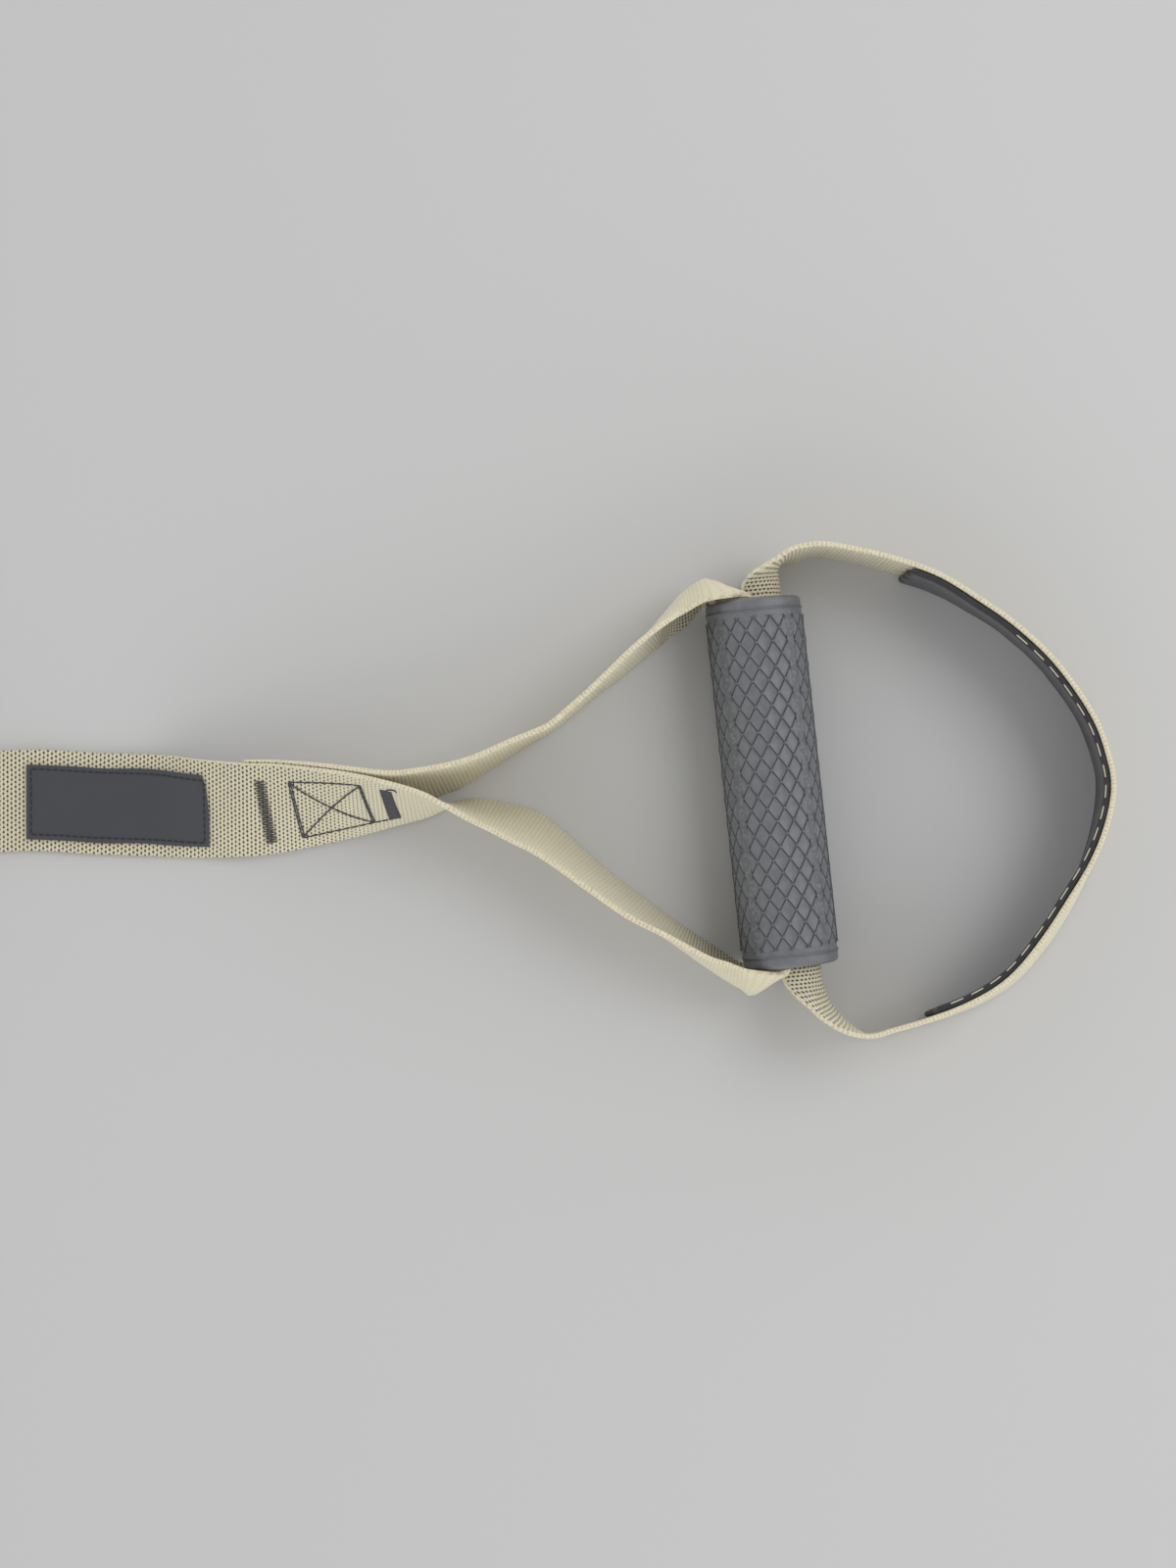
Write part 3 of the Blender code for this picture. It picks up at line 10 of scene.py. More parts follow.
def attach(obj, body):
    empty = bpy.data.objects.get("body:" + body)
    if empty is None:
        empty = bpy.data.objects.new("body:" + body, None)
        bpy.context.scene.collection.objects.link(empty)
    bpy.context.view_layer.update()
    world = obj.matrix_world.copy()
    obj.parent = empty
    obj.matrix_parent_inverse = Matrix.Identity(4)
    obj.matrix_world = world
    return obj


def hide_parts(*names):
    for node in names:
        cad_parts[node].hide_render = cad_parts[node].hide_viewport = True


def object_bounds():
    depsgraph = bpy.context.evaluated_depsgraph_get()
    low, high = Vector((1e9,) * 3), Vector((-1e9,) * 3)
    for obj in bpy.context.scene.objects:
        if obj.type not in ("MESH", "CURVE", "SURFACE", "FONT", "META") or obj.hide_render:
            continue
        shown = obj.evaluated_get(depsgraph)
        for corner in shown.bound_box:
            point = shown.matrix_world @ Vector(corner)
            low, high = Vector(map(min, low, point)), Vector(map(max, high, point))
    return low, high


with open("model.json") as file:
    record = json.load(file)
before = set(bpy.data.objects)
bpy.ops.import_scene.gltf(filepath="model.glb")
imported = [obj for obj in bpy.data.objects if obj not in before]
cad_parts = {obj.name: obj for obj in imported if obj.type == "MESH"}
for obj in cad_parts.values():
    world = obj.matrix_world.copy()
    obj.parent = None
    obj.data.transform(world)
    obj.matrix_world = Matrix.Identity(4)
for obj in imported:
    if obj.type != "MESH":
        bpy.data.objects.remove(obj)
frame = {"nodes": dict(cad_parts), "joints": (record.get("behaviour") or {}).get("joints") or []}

cad_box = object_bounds()
joints = {joint["name"]: joint for joint in frame["joints"]}

# Floor, light and camera.
# The unit lies on a plain pale floor under broad soft light, and the camera looks straight down on
# the grip's end of the strap, which runs out of the picture on the left.
CAMERA_HEIGHT = 0.900
PICTURE_HEIGHT = 0.5904
CAMERA_FROM_GRIP = (-0.0678, -0.0005)
FLOOR_REACH = 6.0
FLOOR_GAP = 0.0002
SIDE_LIGHT = 1.70
TOP_LIGHT = 0.28
grip_centre = Vector(joints["grip_spin"]["pos_m"])


def feed(tree, node, sources):
    """Link each input named or numbered in sources to a socket, or give it a value."""
    for key, source in sources.items():
        socket = node.inputs[key]
        if hasattr(source, "links"):
            tree.links.new(source, socket)
        elif source is not None:
            socket.default_value = (*source, 1) if socket.type == "RGBA" else source
    return node


def fed_node(tree, kind, sources, **settings):
    """New node with its settings and its inputs fed."""
    node = tree.nodes.new(kind)
    for name, value in settings.items():
        setattr(node, name, value)
    return feed(tree, node, sources)


def shader_of(finish):
    return finish.node_tree.nodes["Principled BSDF"]


def new_finish(name, colour, roughness, metallic=0.0, sheen=0.0, sheen_roughness=0.5):
    finish = bpy.data.materials.new(name)
    finish.use_nodes = True
    feed(finish.node_tree, shader_of(finish), {
        "Base Color": colour, "Roughness": roughness, "Metallic": metallic,
        "Sheen Weight": sheen, "Sheen Roughness": sheen_roughness})
    return finish


def finished_mesh(name, bm, finishes, sharp=35):
    """Object made from bm and its finishes, shaded smooth but for edges sharper than an angle."""
    mesh = bpy.data.meshes.new(name)
    bm.to_mesh(mesh)
    bm.free()
    item = bpy.data.objects.new(name, mesh)
    bpy.context.collection.objects.link(item)
    for finish in finishes:
        mesh.materials.append(finish)
    mesh.shade_smooth()
    mesh.set_sharp_from_angle(angle=math.radians(sharp))
    return item


floor_bm = bmesh.new()
bmesh.ops.create_grid(floor_bm, x_segments=1, y_segments=1, size=FLOOR_REACH)
floor = finished_mesh("floor", floor_bm, [new_finish("floor_paper", (0.56, 0.56, 0.56), 0.9)])
floor.location.z = cad_box[0][2] - FLOOR_GAP

world = bpy.data.worlds.new("studio")
bpy.context.scene.world = world
world.use_nodes = True
sky = world.node_tree
direction = sky.nodes.new("ShaderNodeTexCoord").outputs["Generated"]
height = fed_node(sky, "ShaderNodeSeparateXYZ", {0: direction}).outputs["Z"]
fade = fed_node(sky, "ShaderNodeMapRange", {"Value": height, "To Min": SIDE_LIGHT, "To Max": TOP_LIGHT})
feed(sky, sky.nodes["Background"], {"Color": (1, 1, 1), "Strength": fade.outputs["Result"]})


def softbox(name, offset, size, power):
    """Square lamp, aimed at the grip from an offset."""
    lamp = bpy.data.lights.new(name, "AREA")
    lamp.shape = "SQUARE"
    lamp.size = size
    lamp.energy = power
    item = bpy.data.objects.new(name, lamp)
    bpy.context.collection.objects.link(item)
    item.location = grip_centre + Vector(offset)
    item.rotation_euler = (-Vector(offset)).to_track_quat("-Z", "Y").to_euler()


softbox("key_light", (0.9, 0.5, 1.3), 0.9, 8)
softbox("fill_light", (0.25, -1.4, 0.7), 1.2, 3)

camera_data = bpy.data.cameras.new("camera")
camera = bpy.data.objects.new("camera", camera_data)
bpy.context.collection.objects.link(camera)
camera_data.sensor_fit = "VERTICAL"
camera_data.angle = 2 * math.atan(PICTURE_HEIGHT / 2 / CAMERA_HEIGHT)
camera.location = (*(grip_centre.xy + Vector(CAMERA_FROM_GRIP)), CAMERA_HEIGHT)
bpy.context.scene.camera = camera
bpy.context.scene.view_settings.view_transform = "Standard"

# Strap.
# One length of 38 mm khaki webbing: flat from the folded spare length, twisted on edge at the sewn
# junction, along the lower arm into the grip, out again and back along the upper arm, where its cut
# end lies sewn under the strap.
WEBBING_WIDTH = 0.038
WEBBING_THICKNESS = 0.0019
CLEARANCE = 0.0003
GRIP_LENGTH = 0.135
GRIP_RADIUS = 0.018
GRIP_TILT = math.radians(6.1)
RIB_HEIGHT = 0.0005
SLEEVE_WALL = 0.0018
TUBE_WALL = 0.001
STRAND_GAP = 0.0013
ARM_LENGTH = 0.140
FLAT_LENGTH = 0.0475
FLAT_END_SHARE = 1.804
FLAT_START_SHARES = ((1.0, 0.0), (0.5, 0.065))  # x of FLAT_LENGTH, aside of HALF_WIDTH
OVER_END_SHARES = (-1.5, -0.8)
UNDER_ROWS = (3, 7)  # the rows of the route that the strap's own end follows
UNDER_STEPS = (1.3, 1.9)  # how many layers aside it lies on these rows and on the last one
HALF_WIDTH = WEBBING_WIDTH / 2
HALF_THICKNESS = WEBBING_THICKNESS / 2
HALF_GRIP = GRIP_LENGTH / 2
BASE_RADIUS = GRIP_RADIUS - RIB_HEIGHT
BORE_RADIUS = BASE_RADIUS - SLEEVE_WALL - CLEARANCE - TUBE_WALL
ARM_ARC = BORE_RADIUS - CLEARANCE * 1.5 - HALF_THICKNESS
FOOT_ARC = ARM_ARC - WEBBING_THICKNESS - STRAND_GAP
GRIP_AXIS = Vector((math.sin(GRIP_TILT), -math.cos(GRIP_TILT), 0))
GRIP_SIDE = Vector((math.cos(GRIP_TILT), math.sin(GRIP_TILT), 0))
DRAWN_CENTRE = Vector((0, 0, GRIP_RADIUS))
TO_ROW = grip_centre - DRAWN_CENTRE
LAYER_STEP = WEBBING_THICKNESS + CLEARANCE
STRAP_VISIBLE = ARM_LENGTH * FLAT_END_SHARE + FLAT_LENGTH
STRAP_ROUTE_SHARES = [
    # x, y of ARM_LENGTH, lean x, lean y, of HALF_WIDTH
    (-FLAT_END_SHARE, -0.056, 0.03, 1.00),
    (-1.644, -0.061, 0.04, 0.998),
    (-1.533, -0.069, 0.05, 0.96),
    (-1.400, -0.073, 0.06, 0.90),
    (-1.316, -0.070, 0.05, 0.86),
    (-1.209, -0.065, 0.05, 0.74),
    (-1.100, -0.060, 0.04, 0.59),
    (-0.994, -0.057, 0.03, 0.39),
    (-0.915, -0.058, 0.01, 0.22),
    (-0.855, -0.060, 0.00, 0.01),
    (-0.789, -0.071, -0.02, -0.17),
]
LOWER_ARM_SHARES = [
    # x of ARM_LENGTH, y of HALF_GRIP, lean x, lean y, bulge x, bulge y, of HALF_WIDTH
    (-0.723, -0.188, -0.11, -0.22, 0, 0),
    (-0.664, -0.232, -0.17, -0.26, 0, 0),
    (-0.610, -0.290, -0.17, -0.25, 0, 0),
    (-0.557, -0.372, -0.20, -0.18, 0, 0),
    (-0.506, -0.458, -0.21, -0.13, 0, 0),
    (-0.458, -0.537, -0.20, -0.11, 0, 0),
    (-0.357, -0.688, -0.18, -0.10, -0.01, -0.04),
    (-0.264, -0.804, -0.12, -0.06, -0.06, -0.11),
    (-0.174, -0.913, -0.04, -0.07, -0.03, -0.25),
    (-0.122, -0.965, -0.03, -0.02, -0.02, -0.34),
]
UPPER_ARM_SHARES = [
    # the same columns, from the junction to the upper mouth
    (-0.881, 0.012, -0.05, 0.24, 0, 0),
    (-0.832, 0.041, -0.04, 0.21, 0, 0),
    (-0.783, 0.085, -0.03, 0.16, 0, 0),
    (-0.734, 0.139, -0.02, 0.12, 0, 0),
    (-0.683, 0.197, -0.03, 0.08, 0, 0),
    (-0.635, 0.248, -0.01, 0.05, 0, 0),
    (-0.584, 0.301, -0.01, 0.03, 0, 0),
    (-0.531, 0.390, -0.03, 0.02, 0, 0),
    (-0.478, 0.485, -0.05, 0.01, 0, 0),
    (-0.419, 0.585, -0.10, 0.02, 0, 0),
    (-0.366, 0.685, -0.12, 0.03, 0, 0.01),
    (-0.316, 0.772, -0.12, 0.04, -0.05, 0.07),
    (-0.278, 0.835, -0.03, 0.09, -0.02, 0.27),
    (-0.226, 0.903, -0.03, 0.08, -0.05, 0.44),
]

# The arm's loop round each of the grip's ends, measured out from the rim and across from the axis
HUMP_OUT = 0.0092
HUMP_DEPTH_SHARES = (0.35, 1.0)  # into the bore, of HUMP_OUT
BORE_SHARES = (0.6, 0.2, -0.2, -0.6)  # along the bore, of HALF_GRIP
LOWER_HUMP_SHARES = [
    # edges out, middle out, of HUMP_OUT, edges across, middle across, of GRIP_RADIUS
    (-0.12, 0.74, -1.00, -1.03),
    (0.09, 0.96, -0.58, -0.905),
    (0.18, 0.86, -0.28, -0.772),
    (0.14, 0.56, -0.135, -0.716),
]
UPPER_HUMP_SHARES = [
    # the same columns
    (0.10, 0.95, -1.00, -1.02),
    (0.16, 0.955, -0.58, -0.895),
    (0.19, 0.85, -0.28, -0.775),
    (0.14, 0.54, -0.12, -0.722),
]


def along_curve(points, u):
    """Catmull-Rom curve through the points, u from 0 to 1 over equal spans."""
    spans = len(points) - 1
    place = min(max(u, 0), 1) * spans
    index = min(int(place), spans - 1)
    t = place - index
    before = points[max(index - 1, 0)]
    start = points[index]
    end = points[index + 1]
    after = points[min(index + 2, spans)]
    return 0.5 * (2 * start + (end - before) * t + (2 * before - 5 * start + 4 * end - after) * t ** 2
                  + (3 * start - before - 3 * end + after) * t ** 3)


def arc_through(first, middle, last, v):
    """Point on the circle arc from first by way of middle to last, v from 0 to 1."""
    chord = last - first
    sagitta = (middle - intersect_point_line(middle, first, last)[0]).length
    if sagitta < chord.length / 200:
        return first.lerp(last, v)
    a, b = first - middle, last - middle
    cross = a.cross(b)
    centre = middle + (a.length_squared * b - b.length_squared * a).cross(cross) / (2 * cross.length_squared)
    start = first - centre
    angle = start.angle(middle - centre) + (middle - centre).angle(last - centre)
    turn = Matrix.Rotation(angle * v, 3, start.cross(middle - centre))
    return centre + turn @ start


def arc_length(first, middle, last):
    steps = 12
    points = [arc_through(first, middle, last, i / steps) for i in range(steps + 1)]
    return sum((b - a).length for a, b in zip(points, points[1:]))


def standing_station(high, middle, low, lift=0.0):
    """Edge, middle and edge of the webbing where it stands on its low edge, from plan places."""
    small, large = 0.0, HALF_WIDTH
    for _ in range(24):
        half = (small + large) / 2
        length = arc_length(Vector((*high, half)), Vector((*middle, 0)), Vector((*low, -half)))
        if length < WEBBING_WIDTH:
            small = half
        else:
            large = half
    flatness = math.sqrt(max(0, 1 - (half / HALF_WIDTH) ** 2))
    rest = half + HALF_THICKNESS * flatness
    height = rest + max(GRIP_RADIUS - rest, 0) * lift
    return [Vector((*high, height + half)), Vector((*middle, height)), Vector((*low, height - half))]


def leaning_station(x, y, lean_x, lean_y, bulge_x=0.0, bulge_y=0.0):
    """A station from the middle of its edges, half of the lean between them and the bulge."""
    return standing_station((x + lean_x, y + lean_y), (x + bulge_x, y + bulge_y), (x - lean_x, y - lean_y))


def tube_station(along, radius, side):
    """Webbing curled round the grip's axis, its middle on one side of the bore."""
    half_angle = WEBBING_WIDTH / radius / 2
    return [DRAWN_CENTRE + GRIP_AXIS * along
            + (GRIP_SIDE * (side * math.cos(angle)) + Vector((0, 0, math.sin(angle)))) * radius
            for angle in (half_angle, 0, -half_angle)]


class Band:
    """A run of webbing through stations of high edge, middle and low edge."""

    def __init__(self, stations):
        self.rails = [[station[k] for station in stations] for k in range(3)]
        self.steps = 24 * (len(stations) - 1)
        middle = [along_curve(self.rails[1], i / self.steps) for i in range(self.steps + 1)]
        self.lengths = [0.0]
        for a, b in zip(middle, middle[1:]):
            self.lengths.append(self.lengths[-1] + (b - a).length)
        self.length = self.lengths[-1]

    def section(self, length):
        """The three rail points at a length along the middle."""
        share = 1.0
        for i in range(self.steps):
            if self.lengths[i + 1] >= length:
                span = max(self.lengths[i + 1] - self.lengths[i], 1e-9)
                share = (i + (length - self.lengths[i]) / span) / self.steps
                break
        return [along_curve(rail, share) for rail in self.rails]

    def place(self, length, v):
        return arc_through(*self.section(length), v)

    def point(self, length, v, lift=0.0):
        """Point at a length along the band and a share v of its width, lifted off its face."""
        spot = self.place(length, v)
        if lift:
            spot = spot + self.normal(length, v) * lift
        return spot + TO_ROW

    def normal(self, length, v):
        """Up on flat webbing that runs towards +X; the band's edges are v 0 (high) and 1 (low)."""
        step = WEBBING_THICKNESS / 4
        low, high = max(length - step, 0), min(length + step, self.length)
        run = self.place(high, v) - self.place(low, v)
        side = self.place(length, max(v - 0.02, 0)) - self.place(length, min(v + 0.02, 1))
        return run.cross(side).normalized()

    def length_near(self, x, start=0.0, end=None):
        """Length at which the middle first reaches the plan place x between two lengths."""
        end = self.length if end is None else end
        places = [start + (end - start) * i / 120 for i in range(121)]
        past = [self.place(s, 0.5).x - x for s in places]
        near = min(range(1, 120), key=lambda i: abs(past[i]))
        slope = (past[near + 1] - past[near - 1]) / (places[near + 1] - places[near - 1])
        return places[near] - past[near] / slope


def mouth_point(end, out, across):
    """Plan place by distance out of the mouth at one end (+1 lower, -1 upper) and across the axis."""
    spot = GRIP_AXIS * (end * (HALF_GRIP + out)) + GRIP_SIDE * across
    return (spot.x, spot.y)


def hump_stations(end, shares):
    """The arm from the open side into the bore: its middle stands out, its edges pass the rim."""
    stations = []
    for edge_out, middle_out, edge_across, middle_across in shares:
        edge = mouth_point(end, edge_out * HUMP_OUT, edge_across * GRIP_RADIUS)
        middle = mouth_point(end, middle_out * HUMP_OUT, middle_across * GRIP_RADIUS)
        stations.append(standing_station(edge, middle, edge, 1.0))
    stations.append(tube_station(end * HALF_GRIP, ARM_ARC - CLEARANCE / 2, -1))
    for share in HUMP_DEPTH_SHARES:
        stations.append(tube_station(end * (HALF_GRIP - HUMP_OUT * share), ARM_ARC, -1))
    return stations


def layer_offset(station):
    """One layer's step, square to the strap's face."""
    return Vector((1, 0, 0)).cross(station[0] - station[2]).normalized() * LAYER_STEP


def raised_over_end(station):
    """A strap station lifted by one layer, where the strap's own end lies under it."""
    return [spot + Vector((0, 0, layer_offset(station).z)) for spot in station]


def strap_station(x, y, lean_x, lean_y):
    return leaning_station(x * ARM_LENGTH, y * ARM_LENGTH, lean_x * HALF_WIDTH, lean_y * HALF_WIDTH)


def arm_station(x, y, lean_x, lean_y, bulge_x, bulge_y):
    return leaning_station(x * ARM_LENGTH, y * HALF_GRIP, lean_x * HALF_WIDTH, lean_y * HALF_WIDTH,
                           bulge_x * HALF_WIDTH, bulge_y * HALF_WIDTH)


LINE_Y = STRAP_ROUTE_SHARES[0][1] * ARM_LENGTH
strap_stations = []
for share, aside in FLAT_START_SHARES:
    x = -ARM_LENGTH * FLAT_END_SHARE - FLAT_LENGTH * share
    y = LINE_Y + aside * HALF_WIDTH
    strap_stations.append(standing_station((x, y + HALF_WIDTH), (x, y), (x, y - HALF_WIDTH)))
for row in STRAP_ROUTE_SHARES:
    station = strap_station(*row)
    over_end = OVER_END_SHARES[0] < row[0] < OVER_END_SHARES[1]
    strap_stations.append(raised_over_end(station) if over_end else station)
strap_stations += [arm_station(*row) for row in LOWER_ARM_SHARES]
strap_stations += hump_stations(1, LOWER_HUMP_SHARES)
strap_stations += [tube_station(share * HALF_GRIP, ARM_ARC, -1) for share in BORE_SHARES]
strap_stations += hump_stations(-1, UPPER_HUMP_SHARES)[::-1]
strap_stations += [arm_station(*row) for row in reversed(UPPER_ARM_SHARES)]
first_row, last_row = UNDER_ROWS
aside = Vector((0, LAYER_STEP * UNDER_STEPS[1], 0))
strap_stations.append([spot + aside for spot in strap_station(*STRAP_ROUTE_SHARES[last_row])])
for row in reversed(STRAP_ROUTE_SHARES[first_row:last_row]):
    station = strap_station(*row)
    aside = Vector((0, -layer_offset(station).y * UNDER_STEPS[0], 0))
    strap_stations.append([spot + aside for spot in station])
strap = Band(strap_stations)


# Weave and colours of the webbing: pitches in millimetres, then shares of them, and its relief in metres
RIB_PITCH = 1.5
YARN_PITCH = 1.8
BACK_YARN_PITCH = 1.55
WEAVE_WANDER = 0.35
VALLEY_SHIFT = 0.44
GAP_HALF_SIZES = (0.27, 0.28)
WEAVE_BUMP = 0.00022
KHAKI = (0.76, 0.71, 0.53)
KHAKI_SHADE = (0.60, 0.552, 0.395)
# The gap colour is painted shade, the dark seen in the weave's open gaps.
KHAKI_GAP_SHADE = (0.066, 0.054, 0.040)
KHAKI_SELVAGE = (0.72, 0.67, 0.49)
KHAKI_SELVAGE_SHADE = (0.52, 0.45, 0.32)


def new_group(name, inputs, outputs):
    """Node group from a vector and numbers to numbers; also its inner inputs and its output node."""
    group = bpy.data.node_groups.new(name, "ShaderNodeTree")
    for i, title in enumerate(inputs):
        kind = "NodeSocketFloat" if i else "NodeSocketVector"
        group.interface.new_socket(title, in_out="INPUT", socket_type=kind)
    for title in outputs:
        group.interface.new_socket(title, in_out="OUTPUT", socket_type="NodeSocketFloat")
    return group, group.nodes.new("NodeGroupInput").outputs, group.nodes.new("NodeGroupOutput")


def arithmetic(tree, operation, *sources, clamp=False):
    """Value of a Math node with sockets or numbers as its inputs."""
    node = fed_node(tree, "ShaderNodeMath", dict(enumerate(sources)), operation=operation, use_clamp=clamp)
    return node.outputs["Value"]


def product(tree, first, second):
    return arithmetic(tree, "MULTIPLY", first, second)


def total(tree, first, second):
    return arithmetic(tree, "ADD", first, second)


def from_half(tree, value):
    """Distance of a value from the middle between two whole numbers."""
    return arithmetic(tree, "ABSOLUTE", total(tree, arithmetic(tree, "FRACT", value), -0.5))


def colour_mix(tree, share, first, second):
    """Colour between two sockets or colours."""
    return fed_node(tree, "ShaderNodeMix", {0: share, 6: first, 7: second}, data_type="RGBA").outputs[2]


def coated(tree, tone, *coats):
    """A colour with (share, colour) coats laid over it in turn."""
    for share, colour in coats:
        tone = colour_mix(tree, share, tone, colour)
    return tone


def noise_value(tree, vector, scale, detail=3.0, roughness=0.5):
    values = {"Vector": vector, "Scale": scale, "Detail": detail, "Roughness": roughness}
    return fed_node(tree, "ShaderNodeTexNoise", values).outputs["Fac"]


def smooth_step(tree, value, low, high, out_low=0.0, out_high=1.0):
    values = {"Value": value, "From Min": low, "From Max": high, "To Min": out_low, "To Max": out_high}
    return fed_node(tree, "ShaderNodeMapRange", values, interpolation_type="SMOOTHSTEP").outputs["Result"]


def object_place(tree):
    return tree.nodes.new("ShaderNodeTexCoord").outputs["Object"]


def weave_place(tree):
    return fed_node(tree, "ShaderNodeUVMap", {}, uv_map="weave_mm").outputs["UV"]


def split_up(tree, vector):
    return fed_node(tree, "ShaderNodeSeparateXYZ", {0: vector}).outputs


def dress(finish, colour, height, strength, distance, roughness=None):
    """Give a finish its colour, a bump from a height, and a roughness that varies."""
    tree = finish.node_tree
    bump = fed_node(tree, "ShaderNodeBump", {"Height": height, "Strength": strength, "Distance": distance})
    feed(tree, shader_of(finish), {"Base Color": colour, "Roughness": roughness,
                                   "Normal": bump.outputs["Normal"]})
    return finish


def webbing_weave():
    """Coarse webbing: ribs across, with gaps between the yarns staggered from valley to valley.

    The map runs in millimetres, along the webbing in x and across it in y. Where the webbing is bent
    or pulled, its gaps open or close.
    """
    group, given, made = new_group("webbing_weave", ("Map", "Rib Pitch", "Yarn Pitch", "Open"),
                                   ("Gap", "Painted Valley Shade", "Height", "Yarn Shade"))
    opened = given["Open"]
    x, y, _ = split_up(group, given["Map"])
    wander = product(group, total(group, noise_value(group, given["Map"], 0.35, 2.0), -0.5), WEAVE_WANDER)
    along = total(group, arithmetic(group, "DIVIDE", x, given["Rib Pitch"]), wander)
    across = total(group, arithmetic(group, "DIVIDE", y, given["Yarn Pitch"]),
                   product(group, arithmetic(group, "FLOOR", along), VALLEY_SHIFT))
    across = total(group, across, wander)
    from_valley, from_gap = from_half(group, along), from_half(group, across)
    reaches = [arithmetic(group, "POWER", arithmetic(group, "DIVIDE", part, size), 2.0)
               for part, size in zip((from_valley, from_gap), GAP_HALF_SIZES)]
    distance = arithmetic(group, "SQRT", total(group, *reaches))
    spread = arithmetic(group, "MULTIPLY_ADD", opened, 0.4, 0.66)
    gap = product(group, smooth_step(group, arithmetic(group, "DIVIDE", distance, spread), 1.12, 0.70),
                  arithmetic(group, "MULTIPLY", opened, 1.5, clamp=True))
    # Painted shade in the valleys between the ribs, deeper where the weave is open.
    valley = product(group, smooth_step(group, from_valley, 0.26, 0.04),
                     arithmetic(group, "MULTIPLY_ADD", opened, 0.85, 0.25))
    rib, yarn = [arithmetic(group, "SINE", product(group, part, math.pi)) for part in (from_valley, from_gap)]
    fibre = noise_value(group, given["Map"], 6.0, 3.0, 0.7)
    height = 0.0
    for part, share in ((rib, 0.55), (yarn, 0.45), (gap, -0.7), (fibre, 0.12)):
        height = arithmetic(group, "MULTIPLY_ADD", part, share, height)
    feed(group, made, {"Gap": gap, "Painted Valley Shade": valley, "Height": height, "Yarn Shade": fibre})
    return group


weave_group = webbing_weave()


def from_grip(tree):
    """Object place turned so that X runs across the grip and Y along it, split in three."""
    values = {"Vector": object_place(tree), "Location": grip_centre, "Rotation": (0, 0, GRIP_TILT)}
    local = fed_node(tree, "ShaderNodeMapping", values, vector_type="TEXTURE")
    return split_up(tree, local.outputs["Vector"])


def webbing_finish(name, yarn, shade, gap, rib_pitch, yarn_pitch, bump, opening=()):
    """Woven polyester: pale yarns with a little wear, with painted shade in its open gaps and rib valleys.

    Each row of opening gives two distances across from the grip, in arm lengths, and how open the
    weave is at them.
    """
    finish = new_finish(name, yarn, 0.82, sheen=0.15)
    tree = finish.node_tree
    opened = 1.0 if opening else 0.5
    for start, end, open_there, open_beyond in opening:
        step = smooth_step(tree, from_grip(tree)["X"], start * ARM_LENGTH, end * ARM_LENGTH,
                           open_there, open_beyond)
        opened = product(tree, step, opened)
    values = {"Map": weave_place(tree), "Rib Pitch": rib_pitch, "Yarn Pitch": yarn_pitch, "Open": opened}
    weave = fed_node(tree, "ShaderNodeGroup", values, node_tree=weave_group).outputs
    patch = noise_value(tree, object_place(tree), 60.0, 3.0, 0.6)
    # Painted shade: the gap colour darkens the rib valleys a little and fills the open gaps.
    tone = coated(tree, shade, (smooth_step(tree, weave["Yarn Shade"], 0.3, 0.75), yarn),
                  (smooth_step(tree, patch, 0.35, 0.75, 0.0, 0.35), shade),
                  (product(tree, weave["Painted Valley Shade"], 0.22), gap), (weave["Gap"], gap))
    return dress(finish, tone, weave["Height"], 1.0, bump,
                 smooth_step(tree, weave["Gap"], 0.0, 1.0, 0.78, 0.95))


def selvage_finish(name, yarn, dark):
    """The woven edge: short turns of yarn, a little browner than the face."""
    finish = new_finish(name, yarn, 0.85)
    tree = finish.node_tree
    along = split_up(tree, weave_place(tree))["X"]
    turns = arithmetic(tree, "SINE", product(tree, along, math.pi * 2 / RIB_PITCH))
    grain = noise_value(tree, object_place(tree), 1500.0, 2.0, 0.6)
    shade = smooth_step(tree, arithmetic(tree, "MULTIPLY_ADD", turns, 0.10, grain), 0.28, 0.62)
    return dress(finish, colour_mix(tree, shade, dark, yarn), turns, 0.4, 0.0001)


# Both faces go with how the webbing lies: the flat run is open, the stretched arms are closed, and the
# inner side of the bends at the grip's mouths is wide open. A sheet takes them as front, rim and back.
khaki = (KHAKI, KHAKI_SHADE, KHAKI_GAP_SHADE, RIB_PITCH)
webbing_finishes = [
    webbing_finish("khaki_webbing", *khaki, YARN_PITCH, WEAVE_BUMP,
                   ((-1.45, -0.8, 1.0, 0.1), (-0.45, -0.25, 1.0, 0.5))),
    selvage_finish("khaki_selvage", KHAKI_SELVAGE, KHAKI_SELVAGE_SHADE),
    webbing_finish("khaki_webbing_back", *khaki, BACK_YARN_PITCH, WEAVE_BUMP,
                   ((-1.45, -0.8, 8.0, 1.0), (-0.32, -0.18, 0.12, 1.0), (0.05, 0.16, 1.0, 0.3))),
]


# Cells and edges of the sheets
ROW_STEP = 0.0015
CELLS_ACROSS = 14
EDGE_ROUND = 0.0007
MERGE_DISTANCE = 0.00001
MM_PER_M = 1000


def round_edges(item, width, angle):
    rounding = item.modifiers.new("edge_round", "BEVEL")
    rounding.width = width
    rounding.segments = 2
    rounding.limit_method = "ANGLE"
    rounding.angle_limit = math.radians(angle)
    return rounding


